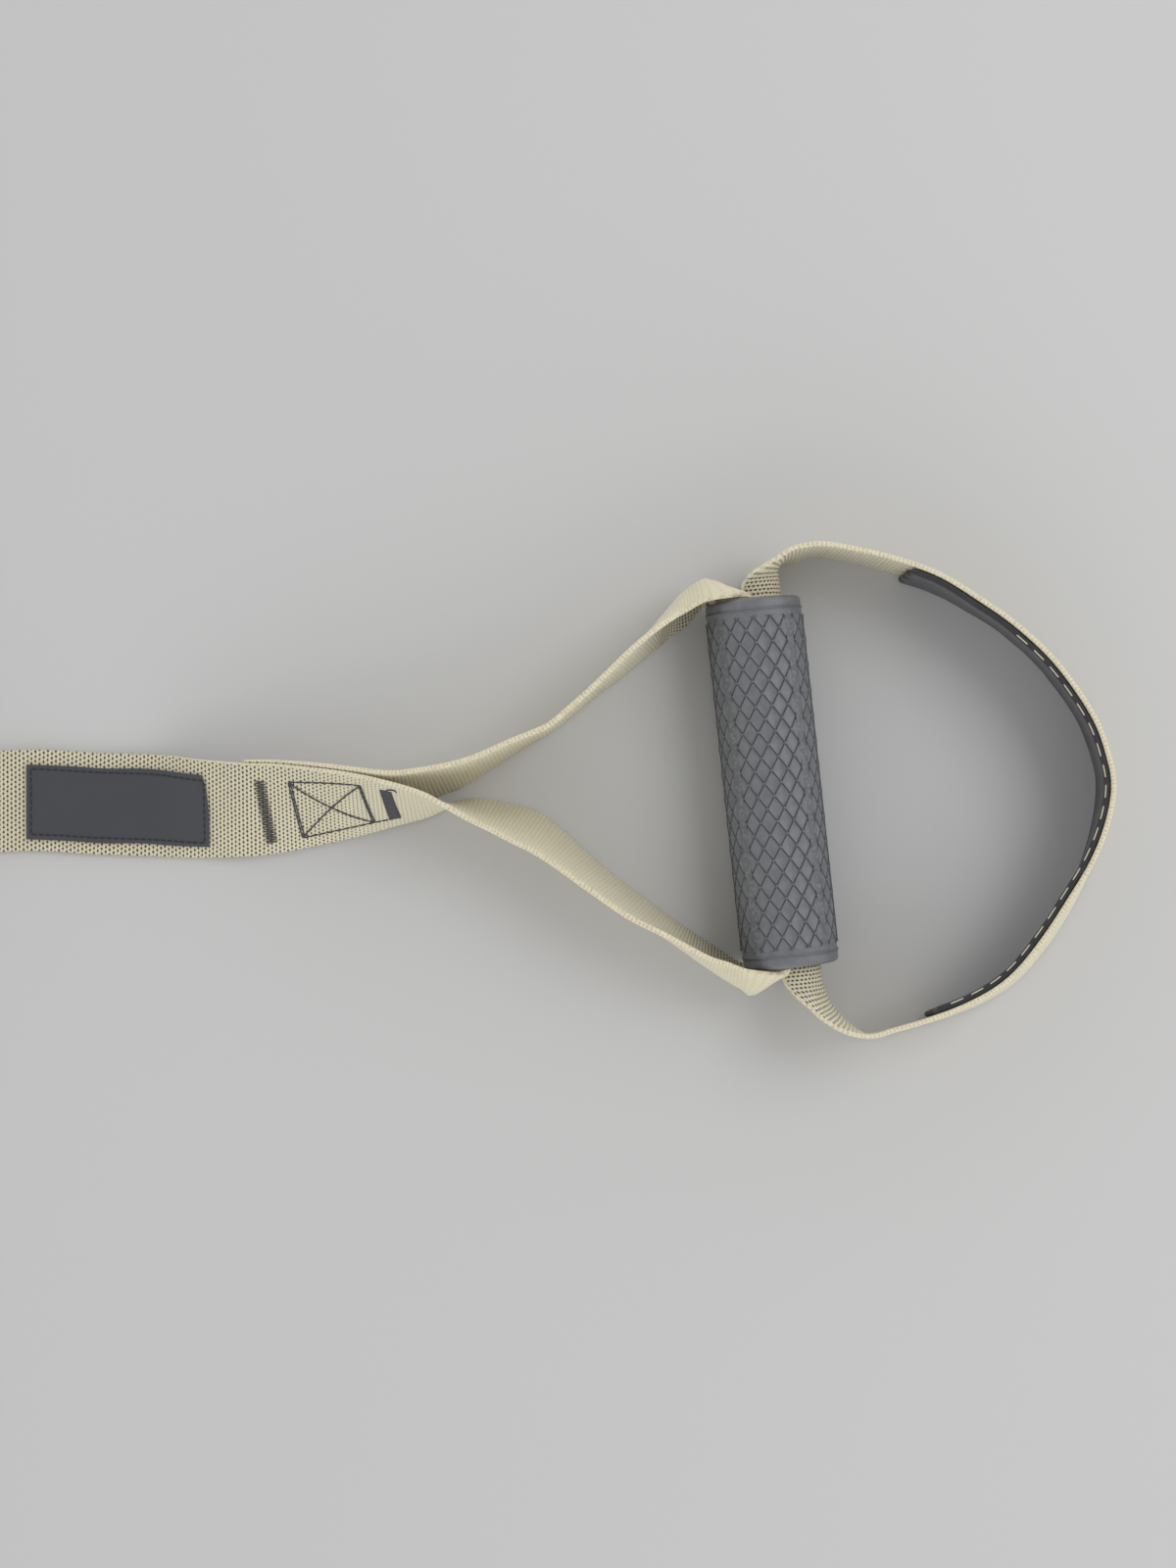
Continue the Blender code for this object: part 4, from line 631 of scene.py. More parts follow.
def woven_sheet(name, along, across, width, length_at, place_of, finishes, thickness, edge_round):
    """Sheet over shares u of its length and v of its width, its weave map in millimetres."""
    bm = bmesh.new()
    bmesh.ops.create_grid(bm, x_segments=along, y_segments=across, size=1)
    weave_map = bm.loops.layers.uv.new("weave_mm")
    for face in bm.faces:
        for loop in face.loops:
            u, v = (loop.vert.co.x + 1) / 2, (1 - loop.vert.co.y) / 2
            loop[weave_map].uv = (length_at(u) * MM_PER_M, v * width * MM_PER_M)
    for vert in bm.verts:
        vert.co = place_of((vert.co.x + 1) / 2, (1 - vert.co.y) / 2)
    bmesh.ops.remove_doubles(bm, verts=bm.verts[:], dist=MERGE_DISTANCE)
    item = finished_mesh(name, bm, finishes)
    solid = item.modifiers.new("thickness", "SOLIDIFY")
    solid.thickness = thickness
    solid.offset = 0
    solid.use_even_offset = True
    solid.material_offset_rim = min(len(finishes) - 1, 1)
    solid.material_offset = min(len(finishes) - 1, 2)
    round_edges(item, edge_round, 60)
    return item


def webbing_strip(name, place_of, length, width, across, finishes, thickness, edge_round):
    """Even rows of a strip, moved on to place_of(length, share across)."""
    return woven_sheet(name, int(length / ROW_STEP), across, width, lambda u: u * length,
                       lambda u, v: place_of(u * length, v), finishes, thickness, edge_round)


strap_webbing = webbing_strip("strap_webbing", strap.point, strap.length, WEBBING_WIDTH, CELLS_ACROSS,
                              webbing_finishes, WEBBING_THICKNESS, EDGE_ROUND)
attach(strap_webbing, "strap")
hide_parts("strap_lead", "lower_arm", "tube_strand", "upper_arm")

# Foot loop.
# A second length of the same webbing: it lies curled in the grip beside the first one, leaves both
# mouths and stands on edge as a loop that takes the foot.
LOOP_LENGTH = 0.122
LOOP_HALF_WIDTH = 0.0855
FOOT_LOOP_SHARES = [
    # x of LOOP_LENGTH, y of LOOP_HALF_WIDTH, outward lean of HALF_WIDTH
    (0.285, -1.090, -0.09),
    (0.36, -1.070, -0.13),
    (0.46, -1.030, -0.14),
    (0.57, -0.975, -0.16),
    (0.67, -0.905, -0.19),
    (0.75, -0.815, -0.22),
    (0.83, -0.675, -0.235),
    (0.90, -0.520, -0.23),
    (0.96, -0.360, -0.19),
    (1.00, -0.195, -0.15),
    (1.019, -0.030, -0.13),
    (1.005, 0.110, -0.125),
    (0.955, 0.295, -0.115),
    (0.845, 0.515, -0.10),
    (0.725, 0.675, -0.085),
    (0.605, 0.790, -0.06),
    (0.49, 0.880, -0.02),
    (0.37, 0.937, 0.01),
    (0.25, 0.980, 0.01),
    (0.14, 1.006, 0.01),
]
FOOT_START_SHARES = (0, 0.5, 0.93, 1.02)  # along the bore, of HALF_GRIP
FOOT_END_SHARES = (-1.01, -0.93, -0.5, -0.02)
FOOT_STRAIGHT = 0.0085
LOWER_EXIT_SHARES = [
    # out of the high edge, middle and low edge, high edge across, of FOOT_STRAIGHT,
    # middle across of FOOT_ARC, low edge across of FOOT_STRAIGHT, lift
    (1.00, 1.00, 1.00, -0.26, 1.03, -0.26, 1.0),
    (1.75, 1.62, 1.75, 0.42, 1.16, 0.50, 1.0),
    (2.35, 2.20, 2.30, 0.98, 1.42, 1.12, 0.6),
    (2.93, 2.80, 2.85, 1.85, 1.85, 1.95, 0.2),
]
UPPER_EXIT_SHARES = [
    # the same columns, from the loop to the mouth
    (1.90, 1.80, 1.66, 1.86, 1.74, 2.05, 0.3),
    (1.60, 1.56, 1.56, 1.20, 1.23, 1.41, 0.7),
    (1.29, 1.25, 1.29, 0.50, 1.01, 0.64, 1.0),
    (0.95, 0.93, 0.95, -0.22, 1.00, -0.19, 1.0),
    (0.50, 0.48, 0.50, -0.39, 1.00, -0.39, 1.0),
]


def exit_station(end, high_out, middle_out, low_out, high_across, middle_across, low_across, lift):
    """The foot strand beside one mouth; the rows of the two exit tables give its shares."""
    straight = FOOT_STRAIGHT
    return standing_station(mouth_point(end, high_out * straight, high_across * straight),
                            mouth_point(end, middle_out * straight, middle_across * FOOT_ARC),
                            mouth_point(end, low_out * straight, low_across * straight), lift)


def foot_stations():
    """The foot loop from the middle of the bore, out of the lower mouth and round to the upper one."""
    stations = [tube_station(HALF_GRIP * share, FOOT_ARC, 1) for share in FOOT_START_SHARES]
    stations += [exit_station(1, *row) for row in LOWER_EXIT_SHARES]
    last = len(FOOT_LOOP_SHARES) - 1
    for i, (x, y, lean) in enumerate(FOOT_LOOP_SHARES):
        before, after = FOOT_LOOP_SHARES[max(i - 1, 0)], FOOT_LOOP_SHARES[min(i + 1, last)]
        run = Vector(((after[0] - before[0]) * LOOP_LENGTH, (after[1] - before[1]) * LOOP_HALF_WIDTH))
        outward = Vector((run.y, -run.x)).normalized() * (lean * HALF_WIDTH)
        stations.append(leaning_station(x * LOOP_LENGTH, y * LOOP_HALF_WIDTH, outward.x, outward.y))
    stations += [exit_station(-1, *row) for row in UPPER_EXIT_SHARES]
    return stations + [tube_station(HALF_GRIP * share, FOOT_ARC, 1) for share in FOOT_END_SHARES]


foot_band = Band(foot_stations())
foot_webbing = webbing_strip("foot_webbing", foot_band.point, foot_band.length, WEBBING_WIDTH,
                             CELLS_ACROSS, webbing_finishes, WEBBING_THICKNESS, EDGE_ROUND)
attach(foot_webbing, "foot_loop")
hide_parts("foot_loop_webbing", "foot_strand")

# Foot lining.
# Dense dark felt, sewn to the loop's inner face along its raised edge, so that the webbing doesn't cut into
# the foot. On the real loop it is folded over that edge; here it lies in one layer.
PAD_THICKNESS = 0.0022
PAD_START_SHARE = 0.49
PAD_END_SHARE = 0.41
PAD_EDGE_SHARES = (0.01, 0.99)
PAD_END_WANDER = 0.0009
PAD_END_WAVES = (23, 57)  # radians across the width
PAD_LUMP = 0.0001
PAD_LUMP_WAVES = ((410, 7), (130, 19))  # radians in a metre along it, and across the width
PAD_CELLS_ACROSS = 12
PAD_EDGE_ROUND = 0.0010


def drawn_out(tree, vector, share):
    """A place squeezed along X, so that noise read there is drawn out along it."""
    node = fed_node(tree, "ShaderNodeVectorMath", {0: vector, 1: (share, 1.0, 1.0)}, operation="MULTIPLY")
    return node.outputs[0]


def felt_finish():
    """Charcoal felt: matted along its length, with a few pale fibres and painted shade along its edge under
    the webbing.
    """
    finish = new_finish("felt", (0.052, 0.052, 0.060), 0.95, sheen=0.15, sheen_roughness=0.6)
    tree = finish.node_tree
    fuzz = noise_value(tree, object_place(tree), 2600.0, 4.0, 0.7)
    patch = noise_value(tree, object_place(tree), 190.0, 4.0, 0.65)
    streak = noise_value(tree, drawn_out(tree, weave_place(tree), 0.05), 0.55, 3.0, 0.6)
    # Painted shade: the last coat darkens the felt within about a millimetre of its edge, under the webbing's
    # edge.
    from_edge = split_up(tree, weave_place(tree))["Y"]
    tone = coated(tree, (0.036, 0.036, 0.043),
                  (smooth_step(tree, patch, 0.38, 0.72), (0.058, 0.059, 0.067)),
                  (smooth_step(tree, streak, 0.52, 0.72, 0.0, 0.7), (0.105, 0.106, 0.118)),
                  (smooth_step(tree, fuzz, 0.60, 0.80, 0.0, 0.45), (0.16, 0.16, 0.175)),
                  (smooth_step(tree, from_edge, 1.1, 0.1, 0.0, 0.75), (0.018, 0.018, 0.021)))
    height = total(tree, product(tree, patch, 0.8), product(tree, fuzz, 0.4))
    return dress(finish, tone, height, 0.8, 0.0006)


pad_start = foot_band.length_near(PAD_START_SHARE * LOOP_LENGTH, 0, foot_band.length / 2)
pad_end = foot_band.length_near(PAD_END_SHARE * LOOP_LENGTH, foot_band.length / 2, foot_band.length)
pad_length = pad_end - pad_start
pad_lift = -(HALF_THICKNESS + CLEARANCE + PAD_THICKNESS / 2)


def pad_point(length, share):
    """The felt's place, with uneven ends and a face that is a little lumpy from wear."""
    first, last = PAD_EDGE_SHARES
    slow, quick = PAD_END_WAVES
    off_middle = 2 * length / pad_length - 1
    wander = math.sin(share * slow) + math.sin(share * quick + off_middle)
    length += off_middle ** 9 * PAD_END_WANDER * wander
    lump = math.prod(math.sin(length * along + share * across) for along, across in PAD_LUMP_WAVES)
    lift = pad_lift - PAD_LUMP * (1 + lump)
    return foot_band.point(pad_start + length, first + (last - first) * share, lift)


foot_felt = webbing_strip("foot_felt", pad_point, pad_length, WEBBING_WIDTH, PAD_CELLS_ACROSS,
                          [felt_finish()], PAD_THICKNESS, PAD_EDGE_ROUND)
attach(foot_felt, "foot_loop")
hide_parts("foot_pad")

# Label.
# A small patch of close black-grey weave, sewn to the strap all round, with nothing on it.
LABEL_THICKNESS = 0.0006
LABEL_START_SHARE = -1.99
LABEL_END_SHARE = -1.49
LABEL_CORNER_SHARE = 0.042
LABEL_EDGE_SHARES = (0.145, 0.885)
LABEL_WAVES = ((260, 0.004), (90, 0.005))  # radians in a metre along it, share of the width
LABEL_PITCHES = (0.42, 0.55)
LABEL_BUMP = 0.00005
LABEL_CELLS = (46, 20)
LABEL_EDGE_ROUND = 0.00015
label_start = strap.length_near(LABEL_START_SHARE * ARM_LENGTH, 0, strap.length / 4)
label_end = strap.length_near(LABEL_END_SHARE * ARM_LENGTH, 0, strap.length / 4)
label_length = label_end - label_start
label_width = WEBBING_WIDTH * (LABEL_EDGE_SHARES[1] - LABEL_EDGE_SHARES[0])
label_lift = HALF_THICKNESS + CLEARANCE + LABEL_THICKNESS / 2


def label_point(length, share):
    first, last = LABEL_EDGE_SHARES
    length *= 1 - LABEL_CORNER_SHARE * (1 - share) ** 4
    share += sum(math.sin(length * rate) * height for rate, height in LABEL_WAVES)
    return strap.point(label_start + length, first + (last - first) * share, label_lift)


# The third colour is painted shade in the weave's gaps.
label_finish = webbing_finish("label_weave", (0.068, 0.070, 0.080), (0.050, 0.052, 0.061),
                              (0.026, 0.027, 0.033), *LABEL_PITCHES, LABEL_BUMP)
label = woven_sheet("label", *LABEL_CELLS, label_width, lambda u: u * label_length,
                    lambda u, v: label_point(u * label_length, v), [label_finish], LABEL_THICKNESS,
                    LABEL_EDGE_ROUND)
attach(label, "strap")
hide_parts("label_patch")

# Stitching.
# Dark bonded thread: a bar tack on each side of a box with a cross in it, sewn through both layers of
# webbing, a line of stitches round the label, and pale stitches along the lining.
THREAD_RADIUS = 0.00032
TACK_PITCH = 0.00052
TACK_HALF_WIDTH = 0.0020
BOX_STITCH = 0.0030
DOUBLE_STITCH = 0.0034
STITCH_SINK = 0.0002
CROSS_LIFT = 0.0001
TACK_RISE = 0.00006
thread_lift = HALF_THICKNESS + THREAD_RADIUS * 0.6
TACKS = (((-0.1895, 0.165), (-0.1852, 0.87)), ((-0.1416, 0.13), (-0.1394, 0.79)))
BOX_CORNERS = ((-0.1783, 0.17), (-0.1509, 0.12), (-0.1469, 0.80), (-0.1738, 0.86))
DOUBLED_SIDES = (((3, 0), 2.6), ((1, 2), -2.2))  # two corners, and thread radii aside
LOOSE_THREAD = ((-0.1416, 0.13), (-0.1400, 0.085), (-0.1382, 0.07), (-0.1374, 0.115))
thread_finish = new_finish("dark_thread", (0.055, 0.055, 0.065), 0.6)
tack_finish = new_finish("tack_thread", (0.125, 0.126, 0.145), 0.6)
label_thread_finish = new_finish("label_thread", (0.012, 0.012, 0.014), 0.7)
pale_thread_finish = new_finish("pale_thread", (0.52, 0.49, 0.39), 0.7)


def thread_piece(name, runs, radius, finish, body):
    """Short tubes of thread: each run is a list of points, thinner at its two ends."""
    curve = bpy.data.curves.new(name, "CURVE")
    curve.dimensions = "3D"
    curve.bevel_depth = radius
    curve.bevel_resolution = 1
    curve.use_fill_caps = True
    for run in runs:
        spline = curve.splines.new("POLY")
        spline.points.add(len(run) - 1)
        for i, (point, spot) in enumerate(zip(spline.points, run)):
            point.co = (*spot, 1)
            point.radius = 0.7 if i in (0, len(run) - 1) else 1.0
    item = bpy.data.objects.new(name, curve)
    bpy.context.collection.objects.link(item)
    curve.materials.append(finish)
    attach(item, body)


def span(start, end):
    """Distance between two (length, share) places on a band."""
    return math.hypot(end[0] - start[0], (end[1] - start[1]) * WEBBING_WIDTH)


def point_between(band, start, end, share, aside, lift):
    (s0, v0), (s1, v1) = start, end
    return band.point(s0 + (s1 - s0) * share + aside, v0 + (v1 - v0) * share, lift)


def stitch_runs(band, start, end, stitch, lift, sink, gap_share=0.08):
    """Stitches between two places on a band, each dipping into it at its ends."""
    count = max(1, round(span(start, end) / stitch))
    return [[point_between(band, start, end, (i + t) / count, 0, lift - sink * abs(2 * t - 1) ** 3)
             for t in (gap_share / 2, 0.25, 0.5, 0.75, 1 - gap_share / 2)] for i in range(count)]


def tack_run(start, end):
    """One thread going to and fro across the line of a bar tack."""
    count = int(span(start, end) / TACK_PITCH)
    return [point_between(strap, start, end, i / count, TACK_HALF_WIDTH if i % 2 else -TACK_HALF_WIDTH,
                          thread_lift + (i % 3) * TACK_RISE) for i in range(count + 1)]


def on_strap(drawn_x, share):
    """(length, share) place on the visible strap at a drawn x."""
    return (strap.length_near(drawn_x, 0, strap.length / 3), share)


tack_runs = [tack_run(on_strap(*start), on_strap(*end)) for start, end in TACKS]
thread_piece("bar_tacks", tack_runs, THREAD_RADIUS, tack_finish, "strap")

box = [on_strap(*corner) for corner in BOX_CORNERS]
box_lines = [(start, end, BOX_STITCH, thread_lift) for start, end in zip(box, box[1:] + box[:1])]
for ends, radii in DOUBLED_SIDES:
    beside = [(box[k][0] + THREAD_RADIUS * radii, box[k][1]) for k in ends]
    box_lines.append((*beside, DOUBLE_STITCH, thread_lift))
box_lines.append((box[2], on_strap(*TACKS[1][1]), BOX_STITCH, thread_lift))
box_lines += [(box[k], box[k + 2], BOX_STITCH, thread_lift + CROSS_LIFT) for k in (0, 1)]
box_runs = [run for line in box_lines for run in stitch_runs(strap, *line, STITCH_SINK)]
box_runs.append([strap.point(*on_strap(*spot), thread_lift) for spot in LOOSE_THREAD])
thread_piece("box_stitch", box_runs, THREAD_RADIUS, thread_finish, "strap")

LABEL_STITCH = 0.0026
LABEL_STITCH_INSET = 0.0018
label_ends = (label_start + LABEL_STITCH_INSET, label_end - LABEL_STITCH_INSET)
inset_share = LABEL_STITCH_INSET / WEBBING_WIDTH
label_sides = (LABEL_EDGE_SHARES[0] + inset_share, LABEL_EDGE_SHARES[1] - inset_share)
corners = [(label_ends[i], label_sides[k]) for i, k in ((0, 0), (1, 0), (1, 1), (0, 1))]
label_thread_lift = label_lift + LABEL_THICKNESS / 2 + THREAD_RADIUS * 0.3
label_runs = []
for start, end in zip(corners, corners[1:] + corners[:1]):
    label_runs += stitch_runs(strap, start, end, LABEL_STITCH, label_thread_lift, STITCH_SINK, 0.3)
thread_piece("label_stitch", label_runs, THREAD_RADIUS * 0.7, label_thread_finish, "strap")

# The lining's stitches lie along its raised edge and sink out of sight before its upper end
PAD_STITCH = 0.0085
PAD_STITCH_INSET = 0.0040
PAD_STITCH_SHARE = 0.007
PAD_STITCH_END_SHARE = 0.725
pad_stitch_end = foot_band.length_near(PAD_STITCH_END_SHARE * LOOP_LENGTH, foot_band.length / 2)
pad_thread_lift = -(HALF_THICKNESS + CLEARANCE + PAD_THICKNESS * 0.72)
pad_runs = stitch_runs(foot_band, (pad_start + PAD_STITCH_INSET, PAD_STITCH_SHARE),
                       (pad_stitch_end, PAD_STITCH_SHARE), PAD_STITCH, pad_thread_lift, 0, 0.38)
thread_piece("lining_stitch", pad_runs, THREAD_RADIUS * 0.75, pale_thread_finish, "foot_loop")

# Grip sleeve.
# Moulded grey rubber on a hard tube: four panels of raised net with plain rough parting strips between
# them, a bead line and a rolled rim at each end.
PLAIN_END = 0.007
NET_LENGTH = GRIP_LENGTH - PLAIN_END * 2
NET_TURN = math.radians(3.1)
NET_TWIST = math.radians(2.4)
NET_ROWS = 13
NET_COLUMNS = 4
NET_PANELS = 4
NET_FADE = (0.0018, 0.0006)  # beyond the net's end, where the ribs' painted shade fades
STRIP_WIDTH = 0.0037
BEAD_INSET = 0.0043
BEAD_HEIGHT = 0.0004
RIM_STEPS = 12
RIB_WIDTH = 0.0010
RIB_RINGS = 3
KNOT_RADIUS = 0.0008
KNOT_HEIGHT = 0.00015
STRIP_ANGLE = STRIP_WIDTH / GRIP_RADIUS
PANEL_PITCH = 2 * math.pi / NET_PANELS
PANEL_ANGLE = PANEL_PITCH - STRIP_ANGLE


def net_angles():
    """Angles of the lattice columns; each parting strip has a line down its middle."""
    angles = [-PANEL_PITCH / 2]
    for k in range(NET_PANELS):
        start = PANEL_PITCH * (k - 0.5) + STRIP_ANGLE / 2
        angles += [start + PANEL_ANGLE * i / NET_COLUMNS for i in range(NET_COLUMNS + 1)]
        angles.append(PANEL_PITCH * (k + 0.5))
    return angles


def net_height(angle, along):
    """Height of the net over the sleeve's face: its ribs follow the diagonals of a plain grid."""
    a = ((angle + PANEL_PITCH / 2) % PANEL_PITCH - STRIP_ANGLE / 2) / PANEL_ANGLE * NET_COLUMNS
    b = (along / NET_LENGTH + 0.5) * NET_ROWS
    if min(a, b, NET_COLUMNS - a, NET_ROWS - b) < -0.01:
        return 0.0
    cell = Vector((PANEL_ANGLE / NET_COLUMNS * GRIP_RADIUS, NET_LENGTH / NET_ROWS))
    spacing = cell.x * cell.y / cell.length
    from_ribs = [abs(c - round(c)) * spacing for c in (a + b, a - b)]
    flank = min(min(from_ribs) / (RIB_WIDTH / 2), 1)
    knot = min(math.hypot(*from_ribs) / KNOT_RADIUS, 1)
    return RIB_HEIGHT * (0.5 + 0.5 * math.cos(math.pi * flank)) + KNOT_HEIGHT * (1 - knot)


def sleeve_sheet():
    """The net drawn flat: poked cells lose their uprights and become diamonds, insets make the ribs."""
    angles = net_angles()
    columns, rows = len(angles) - 1, NET_ROWS + 2
    bm = bmesh.new()
    bmesh.ops.create_grid(bm, x_segments=columns, y_segments=rows, size=1)
    for vert in bm.verts:
        column = round((vert.co.x + 1) / 2 * columns)
        row = round((vert.co.y + 1) / 2 * rows)
        vert.co.x = angles[column] * GRIP_RADIUS
        vert.co.y = NET_LENGTH * (min(max(row - 1, 0), NET_ROWS) / NET_ROWS - 0.5)
        if row in (0, rows):
            vert.co.y += math.copysign(RIB_HEIGHT * 3, vert.co.y)
    width = (angles[2] - angles[1]) * GRIP_RADIUS
    panels = {face for face in bm.faces
              if abs(max(v.co.x for v in face.verts) - min(v.co.x for v in face.verts) - width) < width / 100
              and abs(face.calc_center_median().y) < NET_LENGTH / 2}
    shared = [edge for edge in bm.edges
              if len(edge.link_faces) == 2 and all(face in panels for face in edge.link_faces)]
    bmesh.ops.poke(bm, faces=list(panels))
    bmesh.ops.dissolve_edges(bm, edges=shared, use_verts=False)
    bmesh.ops.bisect_edges(bm, edges=bm.edges[:], cuts=2)
    return bm


def is_net_cell(face):
    """A diamond, or half of one at a panel's border; its sides have each been cut in three."""
    runs = [edge.verts[0].co - edge.verts[1].co for edge in face.edges]
    slanted = sum(min(abs(run.x), abs(run.y)) > RIB_HEIGHT / 2 for run in runs)
    return (len(runs), slanted) in ((12, 12), (9, 6))


def shaped_sleeve(bm):
    """Rings of insets give each rib rounded flanks, and then the sheet is rolled up."""
    cells = [face for face in bm.faces if is_net_cell(face)]
    plain = [face for face in bm.faces if not is_net_cell(face)]
    for _ in range(RIB_RINGS):
        inset = RIB_WIDTH / 2 / RIB_RINGS
        bmesh.ops.inset_individual(bm, faces=cells, thickness=inset, depth=0, use_even_offset=True)
        bmesh.ops.inset_region(bm, faces=plain, thickness=inset, depth=0, use_boundary=False,
                               use_even_offset=True)
    bmesh.ops.poke(bm, faces=cells)
    for vert in bm.verts:
        angle = vert.co.x / GRIP_RADIUS
        radius = BASE_RADIUS + net_height(angle, vert.co.y)
        angle -= NET_TURN + NET_TWIST * vert.co.y / HALF_GRIP
        vert.co = Vector((math.sin(angle) * radius, vert.co.y, math.cos(angle) * radius))
    bmesh.ops.remove_doubles(bm, verts=bm.verts[:], dist=MERGE_DISTANCE)
    return bm


def close_sleeve(bm):
    """Extrude both open ends over bead and rim into the bore, and bridge them there."""
    rim = (BASE_RADIUS - BORE_RADIUS) / 2
    bead = HALF_GRIP - BEAD_INSET
    turns = [math.pi * step / RIM_STEPS for step in range(RIM_STEPS + 1)]
    profile = [(bead - BEAD_HEIGHT * 1.6 * math.cos(turn), BASE_RADIUS + BEAD_HEIGHT * math.sin(turn))
               for turn in turns[::2]]
    profile += [(HALF_GRIP - rim + rim * math.sin(turn), BASE_RADIUS - rim + rim * math.cos(turn))
                for turn in turns]
    lip = HALF_GRIP - rim * 1.6
    profile += [(lip, BORE_RADIUS), (lip, BORE_RADIUS + TUBE_WALL + CLEARANCE)]
    loops = []
    for end in (1, -1):
        edges = [edge for edge in bm.edges if edge.is_boundary and edge.verts[0].co.y * end > 0]
        for along, radius in profile:
            made = bmesh.ops.extrude_edge_only(bm, edges=edges)["geom"]
            edges = [item for item in made if isinstance(item, bmesh.types.BMEdge)]
            for vert in {vert for edge in edges for vert in edge.verts}:
                across = Vector((vert.co.x, 0, vert.co.z)).normalized() * radius
                vert.co = Vector((across.x, along * end, across.z))
        loops += edges
    bmesh.ops.bridge_loops(bm, edges=loops)
    bmesh.ops.recalc_face_normals(bm, faces=bm.faces[:])
    return bm


def rubber_finish():
    """Grey rubber: satin, lightly specked, with painted shade along the ribs, rough on the parting strips."""
    finish = new_finish("grip_rubber", (0.135, 0.140, 0.150), 0.5)
    tree = finish.node_tree
    across, along, up = from_grip(tree)
    radius = arithmetic(tree, "SQRT", total(tree, product(tree, across, across), product(tree, up, up)))
    in_net = smooth_step(tree, arithmetic(tree, "ABSOLUTE", along),
                         *(NET_LENGTH / 2 + beyond for beyond in NET_FADE), 0.45, 1.0)
    # Painted shade: darker where the rubber stands up off the sleeve's face, on the ribs and more faintly on
    # the bead.
    rib = smooth_step(tree, radius, BASE_RADIUS + RIB_HEIGHT * 0.2, GRIP_RADIUS - RIB_HEIGHT * 0.1)
    knot = smooth_step(tree, radius, GRIP_RADIUS + KNOT_HEIGHT * 0.30, GRIP_RADIUS + KNOT_HEIGHT * 0.75,
                       0.0, 0.9)
    turned = total(tree, arithmetic(tree, "ARCTAN2", across, up), NET_TURN + PANEL_PITCH / 2)
    turned = arithmetic(tree, "MULTIPLY_ADD", along, NET_TWIST / HALF_GRIP, turned)
    from_strip = arithmetic(tree, "PINGPONG", turned, PANEL_PITCH / 2)
    strip = smooth_step(tree, from_strip, STRIP_ANGLE * 0.62, STRIP_ANGLE * 0.40, 0.0, 0.6)
    speck = noise_value(tree, object_place(tree), 1900.0, 3.0, 0.6)
    patch = noise_value(tree, object_place(tree), 260.0, 4.0, 0.7)
    lumps = noise_value(tree, object_place(tree), 800.0, 2.0, 0.6)
    rough = colour_mix(tree, smooth_step(tree, lumps, 0.45, 0.66), (0.092, 0.097, 0.104), (0.20, 0.21, 0.22))
    pale = (0.30, 0.31, 0.32)
    tone = coated(tree, (0.130, 0.137, 0.148), (smooth_step(tree, patch, 0.35, 0.7), (0.165, 0.174, 0.187)),
                  (product(tree, strip, in_net), rough), (product(tree, rib, in_net), (0.026, 0.028, 0.032)),
                  (knot, pale), (smooth_step(tree, speck, 0.66, 0.8, 0.0, 0.35), pale))
    return dress(finish, tone, arithmetic(tree, "MULTIPLY_ADD", speck, 0.6, patch), 0.35, 0.0002,
                 smooth_step(tree, patch, 0.3, 0.8, 0.42, 0.62))


sleeve_bm = close_sleeve(shaped_sleeve(sleeve_sheet()))
sleeve_bm.transform(Matrix.Translation(grip_centre) @ Matrix.Rotation(GRIP_TILT, 4, "Z"))
grip_net = finished_mesh("grip_net", sleeve_bm, [rubber_finish()], sharp=60)
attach(grip_net, "grip")
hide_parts("grip_sleeve")


def refinish(node, finish):
    """Finish for a CAD node that stays in the scene as it is."""
    finishes = frame["nodes"][node].data.materials
    finishes.clear()
    finishes.append(finish)


refinish("grip_tube", new_finish("tube_plastic", (0.025, 0.025, 0.027), 0.45))

# Folded spare length and straight tail.
# The strap's unseen length lies folded beyond the picture's edge. Its end runs level through the
# buckle and is folded back behind it as a stop.
HANK_RUN = 0.130
HANK_LAYERS = 9
HANK_GAP = 0.0005
HANK_STANDOFF = 0.025
TIE_THICKNESS = 0.0010
BUCKLE_LENGTH = 0.052
BUCKLE_STANDOFF = 0.057
PLATE_THICKNESS = 0.0016
TAIL_LENGTH = 0.055
TRAVEL_IN = 0.012
TAIL_FOLD = 0.018
BUCKLE_CENTRE = -STRAP_VISIBLE - HANK_STANDOFF - HANK_RUN - BUCKLE_STANDOFF - BUCKLE_LENGTH / 2
TAIL_LEVEL = 2 * LAYER_STEP + PLATE_THICKNESS + CLEARANCE * 2 + HALF_THICKNESS
FOLD_WANDER_SHARES = (0.0, 0.5, -0.4, 0.7, -0.2, 0.3, -0.6, 0.4, 0.0)
FOLD_STEPS = 10
FOLD_CELLS_ACROSS = 10
FOLD_EDGE_ROUND = 0.0006


def ramp(start, end, steps):
    """Soft S from one (x, z) place to another."""
    run, rise = end[0] - start[0], end[1] - start[1]
    shares = [i / steps for i in range(steps + 1)]
    return [(start[0] + run * t, start[1] + rise * t * t * (3 - 2 * t)) for t in shares]


def half_turn(x, z, radius, side):
    """Round fold upwards from (x, z), on the side -1 (left) or 1."""
    angles = [math.pi * (step / FOLD_STEPS - 0.5) for step in range(FOLD_STEPS + 1)]
    return [(x + side * radius * math.cos(angle), z + radius + radius * math.sin(angle)) for angle in angles]


